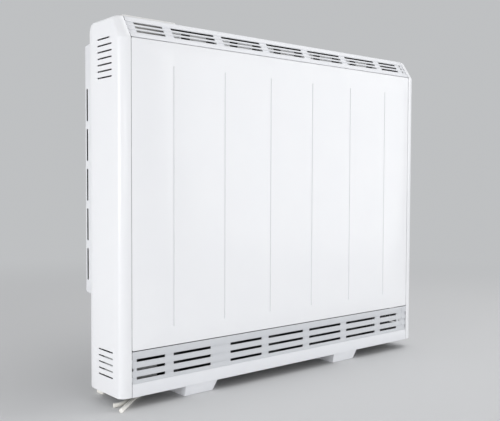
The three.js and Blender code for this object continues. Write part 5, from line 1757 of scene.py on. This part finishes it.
@dataclass
class TopGrille:
    """The grille on the slope between the front panel and the flat top."""

    slot_height: float = 4.8
    first_row: float = 17.2
    row_pitch: float = 9.8
    first_column: float = 41.0
    dimple_radius: float = 3.0
    dimple_inset: float = 9.4
    dimple_floor: float = 1.8
    end_tab_rear: float = 3.9
    end_tab_margin: float = 7.0

    def build(self) -> None:
        """Makes the grille upright, lays it on the slope and trims its long edges."""
        height = math.hypot(CHAMFER_DEPTH, CHAMFER_HEIGHT)
        rows = [self.first_row + i * self.row_pitch for i in range(3)]
        louvres = LouvredGrille(
            "top_grille_louvres", height, rows, self.slot_height, self.first_column, ramp=6.0
        )
        obj = louvres.flat()
        x = INNER_RIGHT - self.dimple_inset
        carve(obj, [add_bar("dimple_tool", (x, 0.5, z), self.dimple_radius, 5.0, Axis.Y, 20) for z in rows])
        low, high = self.end_tab_margin, height - self.end_tab_margin
        corners = (INNER_RIGHT - 3.0, SHEET + GAP, low), (INNER_RIGHT + 2.3, self.end_tab_rear, high)
        end_tab = add_block("end_tab", *corners)
        round_edges(end_tab, 0.2, 1)
        merge(obj, [*add_tabs(SHEET + GAP, 4.0, rows[1]), end_tab])
        radius = self.dimple_radius - 0.1
        floors = [
            add_bar("dimple_floors", (x, self.dimple_floor, z), radius, 0.6, Axis.Y, 20) for z in rows
        ]
        merge(floors[0], floors[1:])
        pivot = place((0.0, 0.0, 0.0))
        tilt = Matrix.Rotation(-math.atan2(CHAMFER_DEPTH, CHAMFER_HEIGHT), 4, "X")
        lift = Matrix.Translation((0.0, 0.0, CHAMFER_FOOT * MM))
        for piece in (obj, floors[0]):
            piece.matrix_world = lift @ Matrix.Translation(pivot) @ tilt @ Matrix.Translation(-pivot)
            settle(piece)
        # Painted shade: the dimple floors get darkened zinc instead of the grille's paint.
        hand_in(floors[0], HALF_SHADE_ZINC, "grille_paint", "heater")
        self.trim(obj, (0.0, 0.0, CHAMFER_FOOT + SEAM / 2), (0.0, 0.0, -1.0))
        self.trim(obj, (0.0, CHAMFER_DEPTH, 0.0), (0.0, 1.0, 0.0))
        round_edges(obj, 0.3, 2, 30.0)
        soften(obj)
        # Painted shade: the satin white is a little greyer than the front's.
        hand_in(obj, DIMMED_WHITE_PAINT, "grille_paint", "heater", "top_grille")
        # Painted shade on the faces that look under the slope and on the left cut end.
        under = Vector((0.0, CHAMFER_HEIGHT, -CHAMFER_DEPTH)).normalized()
        paint_shade(obj, PAINTED_SHADE, lambda at, normal: normal.dot(under) > 0.6 or is_shaded_left_end(at, normal))

    def trim(self, obj: bpy.types.Object, point: Point, outward: Point) -> None:
        """Cuts off what lies beyond a plane and closes the cut.

        Args:
            obj: The grille.
            point: A point of the plane in the case frame.
            outward: The plane's normal, towards what is cut off.
        """
        with Bench(obj) as bench:
            bench.pick_all()
            bpy.ops.mesh.bisect(plane_co=place(point), plane_no=outward, clear_outer=True, use_fill=True)


# ------------------------------------------------------------------------------------- chassis


@dataclass
class FoldedSheets:
    """Plinth, base tray, flat top and back: folded strips of sheet."""

    plinth_return: float = 12.0
    tray_upstand: float = 16.0
    back_return: float = 9.0
    top_return: float = 6.0
    tray_inset: float = 1.5
    rear_radius: float = 17.0
    rear_drop: float = 30.0
    bend_steps: int = 8
    cutout: tuple[float, float, float, float] = (31.2, 134.8, 38.0, 98.0)

    def build(self) -> None:
        """Folds each sheet and rounds its edges."""
        # Painted shade: the plinth takes the greyer satin white, and the base tray near-black zinc.
        self.finish(self.plinth(), DIMMED_WHITE_PAINT, "grille_paint", "plinth_rail")
        self.finish(self.tray(), DEEP_SHADE_ZINC, "galvanised_steel", "base_tray")
        top = self.top()
        self.finish(top, WHITE_PAINT, "white_paint", "top_panel")
        # Painted shade on the underside of the flat top and the inside of its rear bend.
        paint_shade(top, PAINTED_SHADE, self.is_shaded_under_top)
        back = self.back()
        self.finish(back, ZINC, "galvanised_steel", "back_panel")
        # Painted shade on the back panel's inner face.
        paint_shade(back, PAINTED_SHADE, lambda at, normal: normal.y < -0.6)

    def is_shaded_under_top(self, at: Vector, normal: Vector) -> bool:
        """Tells whether a face of the flat top looks down or, at its rear bend, inwards, where painted shade
        goes.
        """
        return normal.z < -0.6 or normal.y < -0.6 and at.y > CHAMFER_DEPTH + 2

    def finish(self, obj: bpy.types.Object, finish: Finish, slot: str, node: str) -> None:
        """Rounds the folds, dresses the piece, hangs it on the heater and hides its CAD node.

        Args:
            obj: The sheet.
            finish: Its finish.
            slot: Its material slot.
            node: Its CAD node.
        """
        round_edges(obj, 0.5, 3, 40.0)
        soften(obj)
        hand_in(obj, finish, slot, "heater", node)

    def plinth(self) -> bpy.types.Object:
        """Folds the strip under the lower grille."""
        profile = [(4.0, 0.0), (0.0, 0.0), (0.0, PLINTH_HEIGHT), (self.plinth_return, PLINTH_HEIGHT)]
        return fold_sheet("plinth_strip", profile, INNER_LEFT, INNER_RIGHT, Axis.X)

    def tray(self) -> bpy.types.Object:
        """Folds the base tray.

        Returns:
            The tray.
        """
        low, back = self.tray_inset, CASE_DEPTH - self.tray_inset
        profile = [(low, PLINTH_HEIGHT - low), (low, low), (back, low), (back, self.tray_upstand)]
        return fold_sheet("base_tray_sheet", profile[::-1], INNER_LEFT, INNER_RIGHT, Axis.X)

    def top(self) -> bpy.types.Object:
        """Folds the flat top over its wide rear bend and cuts the place of the controls.

        Returns:
            The flat top.
        """
        front = CHAMFER_DEPTH + SEAM
        profile = [(CASE_DEPTH, CASE_HEIGHT - self.rear_drop)]
        for step in range(self.bend_steps + 1):
            turn = math.pi / 2 * step / self.bend_steps
            y = CASE_DEPTH - self.rear_radius * (1 - math.cos(turn))
            profile.append((y, CASE_HEIGHT - self.rear_radius * (1 - math.sin(turn))))
        profile += [(front, CASE_HEIGHT), (front, CASE_HEIGHT - self.top_return)]
        obj = fold_sheet("top_sheet", profile[::-1], INNER_LEFT, INNER_RIGHT, Axis.X)
        x0, x1, y0, y1 = self.cutout
        carve(obj, [add_block("cutout_tool", (x0, y0, CASE_HEIGHT - 4), (x1, y1, CASE_HEIGHT + 2))])
        return obj

    def back(self) -> bpy.types.Object:
        """Folds the back panel.

        Returns:
            The back panel.
        """
        edge = CASE_DEPTH - self.back_return
        left, right = INNER_LEFT, INNER_RIGHT
        profile = [(left, edge), (left, CASE_DEPTH), (right, CASE_DEPTH), (right, edge)]
        top = CASE_HEIGHT - self.rear_drop - GAP
        obj = fold_sheet("back_sheet", profile, 0.0, top, Axis.Z)
        corners = (left - 1, edge - 1, -1.0), (right + 1, CASE_DEPTH - SHEET, self.tray_upstand + 2)
        carve(obj, [add_block("notch_tool", *corners)])
        return obj


@dataclass
class OutletDeflector:
    """The toothed sheet behind the top grille."""

    left: float = 125.3
    right: float = 748.0
    front: float = 29.2
    foot: float = 12.0
    base: float = 633.5
    top: float = 695.0
    first_gap: float = 153.5
    pitch: float = 61.0
    gap: float = 21.0
    depth: float = 19.0

    def build(self) -> None:
        """Folds the sheet and cuts the gaps between its teeth."""
        rear = self.front + self.foot
        profile = [(self.front, self.top), (self.front, self.base), (rear, self.base)]
        obj = fold_sheet("deflector_sheet", profile[::-1], self.left, self.right, Axis.X)
        count = int((self.right - self.first_gap) / self.pitch) + 1
        tools = []
        for i in range(count):
            x = self.first_gap + i * self.pitch
            low = (x, self.front - 1, self.top - self.depth)
            tools.append(add_block("gap_tool", low, (x + self.gap, self.front + 3, self.top + 1)))
        carve(obj, tools)
        round_edges(obj, 0.3, 2, 40.0)
        soften(obj)
        # Painted light: the deflector's near-white sheet stands for the light that falls on it through the
        # top grille.
        hand_in(obj, PAINTED_LIGHT_SHEET, "galvanised_steel", "heater", "outlet_deflector")


@dataclass
class Feet:
    """The two pressed feet, tapering towards the floor."""

    width: float = 93.0
    front: float = 5.0
    length: float = 104.0
    side_taper: float = 9.0
    front_taper: float = 3.5
    rear_taper: float = 4.0
    front_cut: tuple[float, float] = (12.5, 2.0)
    front_right: float = 3.5
    wall: float = 1.6
    edge: float = 1.4
    centres: tuple[float, float] = (182.5, 605.7)

    def build(self) -> None:
        """Presses the left foot and copies it for the right."""
        left, right = self.centres
        feet = repeat(self.foot(left), [(right - left, 0.0, 0.0)])
        for obj, node in zip(feet, ("left_foot", "right_foot")):
            obj.name = node + "_pressing"
            # Painted shade: the feet take the greyer satin white.
            hand_in(obj, DIMMED_WHITE_PAINT, "grille_paint", "heater", node)

    def foot(self, centre: float) -> bpy.types.Object:
        """Makes one foot from a block: tapered, opened at the top, rounded and given its wall.

        Args:
            centre: Its middle along the heater.

        Returns:
            The foot.
        """
        half = self.width / 2
        rear = self.front + self.length
        obj = add_block("foot", (centre - half, self.front, -FOOT_HEIGHT), (centre + half, rear, SHEET))
        with Bench(obj) as bench:
            low = -FOOT_HEIGHT + 0.1
            bench.pick("VERT", lambda at, _: at.z < low and at.x < centre)
            bench.move(x=self.side_taper)
            bench.pick("VERT", lambda at, _: at.z < low and at.x > centre)
            bench.move(x=-self.side_taper)
            bench.pick("VERT", lambda at, _: at.z < low and at.y < self.front + 1)
            bench.move(y=self.front_taper)
            bench.pick("VERT", lambda at, _: at.z < low and at.y > rear - 1)
            bench.move(y=-self.rear_taper)
            for level, cut in zip((SHEET, -FOOT_HEIGHT), self.front_cut):
                bench.pick("VERT", self.near(centre, -1, level))
                bench.move(x=cut)
            bench.pick("VERT", self.near(centre, 1, -FOOT_HEIGHT))
            bench.move(x=-self.front_right)
            bench.pick("FACE", lambda at, n: n.z > 0.9)
            bench.drop()
            bench.pick("EDGE", lambda at, run: at.z < SHEET - 0.1)
            bench.bevel(self.edge, 4)
        modify(obj, "SOLIDIFY", thickness=self.wall * MM, offset=-1.0, use_even_offset=True)
        soften(obj)
        return obj

    def near(self, centre: float, side: int, level: float) -> Callable[[Vector, object], bool]:
        """Gives the test for the front corner of one side at one level.

        Args:
            centre: The foot's middle along the heater.
            side: -1 for the left corner, 1 for the right one.
            level: Height of the corner.

        Returns:
            The test, as Bench.pick takes it.
        """

        def test(at: Vector, _: object) -> bool:
            """Tells whether a vertex is that corner."""
            return (at.x - centre) * side > 0 and at.y < self.front + 10 and abs(at.z - level) < 1

        return test


@dataclass
class TerminalBracket:
    """The bracket of the terminal block, with its shield behind the left side panel's slots."""

    gauge: float = 1.2
    front: float = 13.0
    foot: tuple[Point, Point] = ((30.0, 13.0, 3.0), (86.0, 33.0, 4.2))
    wall_top: float = 60.0
    shield_left: float = 2.0
    shield_rear: float = 66.0
    shield: tuple[float, float] = (40.0, 74.0)

    def build(self) -> None:
        """Makes the foot, the wall, the arm and the shield as one welded piece."""
        rear = self.front + self.gauge
        left, right = self.foot[0][0], self.foot[1][0]
        low, high = self.shield
        obj = add_block("terminal_bracket_sheet", *self.foot)
        wall = add_block("wall", (left, self.front, self.foot[0][2]), (right, rear, self.wall_top))
        corner = (self.shield_left, self.front, low)
        arm = add_block("arm", corner, (left + 1, rear, self.wall_top))
        shield = add_block("shield", corner, (corner[0] + self.gauge, self.shield_rear, high))
        merge(obj, [wall, arm, shield])
        round_edges(obj, 0.2, 1)
        soften(obj)
        # Painted shade: the bracket's zinc is darkened because it sits in shade behind the slots.
        hand_in(obj, HALF_SHADE_ZINC, "galvanised_steel", "heater", "terminal_bracket")


@dataclass
class StandoffFrame:
    """The deep drafted frame that keeps the case off the wall."""

    inset: float = 20.0
    bottom: float = 171.0
    top: float = 680.0
    draft: float = 6.0
    wall: float = 1.6
    flange: float = 26.0
    slot_first: float = 235.0
    slot_pitch: float = 80.0
    slot_count: int = 5
    slot_length: float = 65.0
    slot_width: float = 7.0
    slot_rear: float = 11.5
    hole_radius: float = 4.2
    hole_inset: float = 60.0
    fold: float = 3.0

    def build(self) -> None:
        """Makes the frame from a block: drafted, opened, flanged, rounded, slotted and drilled."""
        front = CASE_DEPTH + GAP
        left, right = self.inset, CASE_WIDTH - self.inset
        obj = add_block("standoff_pressing", (left, front, self.bottom), (right, TOTAL_DEPTH, self.top))
        middle = Vector((CASE_WIDTH / 2, 0.0, (self.bottom + self.top) / 2))
        with Bench(obj) as bench:
            for sign in (-1, 1):
                bench.pick("VERT", lambda at, _: at.y > front + 1 and (at.x - middle.x) * sign > 0)
                bench.move(x=-sign * self.draft)
                bench.pick("VERT", lambda at, _: at.y > front + 1 and (at.z - middle.z) * sign > 0)
                bench.move(z=-sign * self.draft)
            bench.pick("FACE", lambda at, n: n.y < -0.9)
            bench.drop()
            bench.pick("FACE", lambda at, n: n.y > 0.9)
            bpy.ops.mesh.inset(thickness=self.flange * MM)
            bench.drop()
            bench.pick("EDGE", lambda at, run: self.is_fold(at, front))
            bench.bevel(self.fold, 5)
        modify(obj, "SOLIDIFY", thickness=self.wall * MM, offset=-1.0, use_even_offset=True)
        carve(obj, self.slots())
        carve(obj, self.holes())
        soften(obj)
        # Painted shade: greyer satin white outside and the dark coat on the inside.
        hand_in(obj, DIMMED_WHITE_PAINT, "grille_paint", "heater", "standoff_frame")
        paint_shade(obj, PAINTED_SHADE, self.is_shaded_inside)

    def is_shaded_inside(self, at: Vector, normal: Vector) -> bool:
        """Tells whether a face lies on the inside of the frame, where painted shade goes.

        Args:
            at: Middle of the face in the case frame.
            normal: Normal of the face.

        Returns:
            True for the unpainted inside.
        """
        if at.y > TOTAL_DEPTH - self.wall + 0.05:
            return False
        across = (at.x - CASE_WIDTH / 2) * normal.x
        upward = (at.z - (self.bottom + self.top) / 2) * normal.z
        return across + upward < -20 or normal.y < -0.5 and at.y > CASE_DEPTH + 3

    def is_fold(self, at: Vector, front: float) -> bool:
        """Tells whether an edge's middle lies on one of the frame's folds.

        Args:
            at: Middle of the edge in the case frame.
            front: Place of the frame's open front.

        Returns:
            True for the corners between the walls and for the bends to the flange.
        """
        if at.y < front + 1:
            return False
        outer = self.inset + self.draft
        near_side = min(abs(at.x - outer), abs(at.x - CASE_WIDTH + outer)) < 4
        near_end = min(abs(at.z - self.bottom - self.draft), abs(at.z - self.top + self.draft)) < 4
        if at.y > TOTAL_DEPTH - 1:
            return near_side or near_end
        return near_side and near_end

    def slots(self) -> list[bpy.types.Object]:
        """Makes the cutting bodies of the upright slots in both sides.

        Returns:
            The cutting bodies.
        """
        size = (self.slot_length, self.slot_width, CASE_WIDTH)
        tools = []
        for i in range(self.slot_count):
            centre = (CASE_WIDTH / 2, TOTAL_DEPTH - self.slot_rear, self.slot_first + i * self.slot_pitch)
            tools.append(add_slot_cutter("slot_tool", centre, *size, Axis.X, Axis.Z))
        return tools

    def holes(self) -> list[bpy.types.Object]:
        """Makes the cutting bodies of the four holes for the wall screws.

        Returns:
            The cutting bodies.
        """
        edge = self.draft + self.flange / 2
        x = self.inset + edge + self.hole_inset
        places = [(u, v) for u in (x, CASE_WIDTH - x) for v in (self.bottom + edge, self.top - edge)]
        return [
            add_bar("hole_tool", (u, TOTAL_DEPTH, v), self.hole_radius, 8.0, Axis.Y, 32) for u, v in places
        ]


# ------------------------------------------------------------------------------------- controls


@dataclass
class Controls:
    """The raised cover on the flat top with its window and five push buttons."""

    left: float = 23.2
    width: float = 119.6
    front: float = 30.0
    depth: float = 76.0
    rise: float = 3.0
    corner: float = 6.0
    edge: float = 0.9
    window_size: tuple[float, float] = (46.0, 22.0)
    window_row: float = 46.0
    window_drop: float = 0.4
    window_gauge: float = 2.0
    button_size: tuple[float, float] = (13.0, 8.6)
    button_row: float = 22.0
    button_pitch: float = 19.4
    button_low: float = 705.3
    button_rise: float = 0.6
    button_corner: float = 2.0
    button_dish: tuple[tuple[float, float], ...] = ((0.45, -0.12), (0.4, -0.08), (0.35, -0.03))
    cut_margin: float = 2.0
    clearance: float = 0.3
    buttons: tuple[str, ...] = ("mode", "minus", "plus", "enter", "boost")

    def build(self) -> None:
        """Makes the cover, the window and the buttons."""
        self.cover()
        self.window()
        x = self.left + self.width / 2
        first = self.rounded_block("button", x, self.front + self.button_row, self.button_size, 0.0)
        self.dish(first)
        steps = [((i - 2) * self.button_pitch, 0.0, 0.0) for i in (0, 1, 3, 4)]
        keys = repeat(first, steps)
        order = [keys[1], keys[2], keys[0], keys[3], keys[4]]
        for obj, name in zip(order, self.buttons):
            obj.name = name + "_key"
            hand_in(obj, WHITE_PLASTIC, "white_plastic", name + "_key", name + "_button")

    def rounded_block(
        self, name: str, x: float, y: float, size: tuple[float, float], margin: float
    ) -> bpy.types.Object:
        """Makes an upright block with rounded corners, as a button or as its hole.

        Args:
            name: Name of the object.
            x: Its middle along the heater.
            y: Its middle across the heater.
            size: Width and depth of a button.
            margin: Clearance of a hole, 0 for a button.

        Returns:
            The block.
        """
        half_x, half_y = size[0] / 2 + margin, size[1] / 2 + margin
        high = CASE_HEIGHT + self.rise + (self.button_rise if margin == 0 else self.cut_margin)
        obj = add_block(name, (x - half_x, y - half_y, self.button_low), (x + half_x, y + half_y, high))
        with Bench(obj) as bench:
            bench.pick("EDGE", lambda at, run: abs(run.z) > 0.9)
            bench.bevel(self.button_corner + margin, 6)
        return obj

    def dish(self, obj: bpy.types.Object) -> None:
        """Rounds a button's top edge and presses a shallow dish into it.

        Args:
            obj: The button.
        """
        with Bench(obj) as bench:
            bench.pick("EDGE", lambda at, run: at.z > CASE_HEIGHT + self.rise and abs(run.z) < 0.1)
            bench.bevel(0.5, 4)
            bench.pick("FACE", lambda at, n: n.z > 0.99)
            for thickness, depth in self.button_dish:
                bpy.ops.mesh.inset(thickness=thickness * MM, depth=depth * MM)
        soften(obj, 50.0)

    def cover(self) -> None:
        """Makes the cover plate with its holes."""
        low = CASE_HEIGHT + self.clearance
        top = CASE_HEIGHT + self.rise
        corner = (self.left + self.width, self.front + self.depth, top)
        obj = add_block("cover_moulding", (self.left, self.front, low), corner)
        with Bench(obj) as bench:
            bench.pick("EDGE", lambda at, run: abs(run.z) > 0.9)
            bench.bevel(self.corner, 8)
            bench.pick("EDGE", lambda at, run: at.z > top - 0.01 and abs(run.z) < 0.1)
            bench.bevel(self.edge, 4)
        x = self.left + self.width / 2
        y = self.front + self.window_row
        half_x, half_y = (v / 2 + self.clearance for v in self.window_size)
        under, over = low - self.cut_margin, top + self.cut_margin
        tools = [add_block("window_tool", (x - half_x, y - half_y, under), (x + half_x, y + half_y, over))]
        row = self.front + self.button_row
        for i in range(len(self.buttons)):
            at = x + (i - 2) * self.button_pitch
            tools.append(self.rounded_block("hole_tool", at, row, self.button_size, self.clearance))
        carve(obj, tools)
        round_edges(obj, 0.15, 2, 50.0)
        soften(obj)
        hand_in(obj, WHITE_PLASTIC, "white_plastic", "heater", "control_cover")

    def window(self) -> None:
        """Makes the smoked window with bevelled edges."""
        x = self.left + self.width / 2
        y = self.front + self.window_row
        half_x, half_y = (v / 2 for v in self.window_size)
        top = CASE_HEIGHT + self.rise - self.window_drop
        low = top - self.window_gauge
        obj = add_block("smoked_window", (x - half_x, y - half_y, low), (x + half_x, y + half_y, top))
        round_edges(obj, 0.4, 3, 50.0)
        soften(obj)
        hand_in(obj, SMOKED, "smoked_lens", "heater", "display_window")


# ------------------------------------------------------------------------------------- assembly


def dress_nodes() -> None:
    """Gives every CAD node the finish of its material slot; the core's front and shelf get near-black zinc
    as painted shade.
    """
    slots = {part["node"]: part["material_slot"] for part in frame["record"]["subparts"]}
    for name, obj in frame["nodes"].items():
        dress(obj, NODE_SHADE_FINISHES.get(name, NODE_FINISHES[slots[name]]))


def main() -> None:
    """Builds the studio and every sub-assembly in order."""
    logging.basicConfig(level=logging.INFO, format="%(message)s")
    bpy.context.scene.view_settings.view_transform = "Standard"
    for part in (Studio, SupplyCables, CordGrip, OutletDeflector):
        part().build()
    dress_nodes()
    for part in (SidePanels, FrontPanel, LowerGrille, TopGrille, FoldedSheets, Feet):
        part().build()
    for part in (TerminalBracket, StandoffFrame, Controls):
        part().build()


if __name__ == "__main__":
    main()
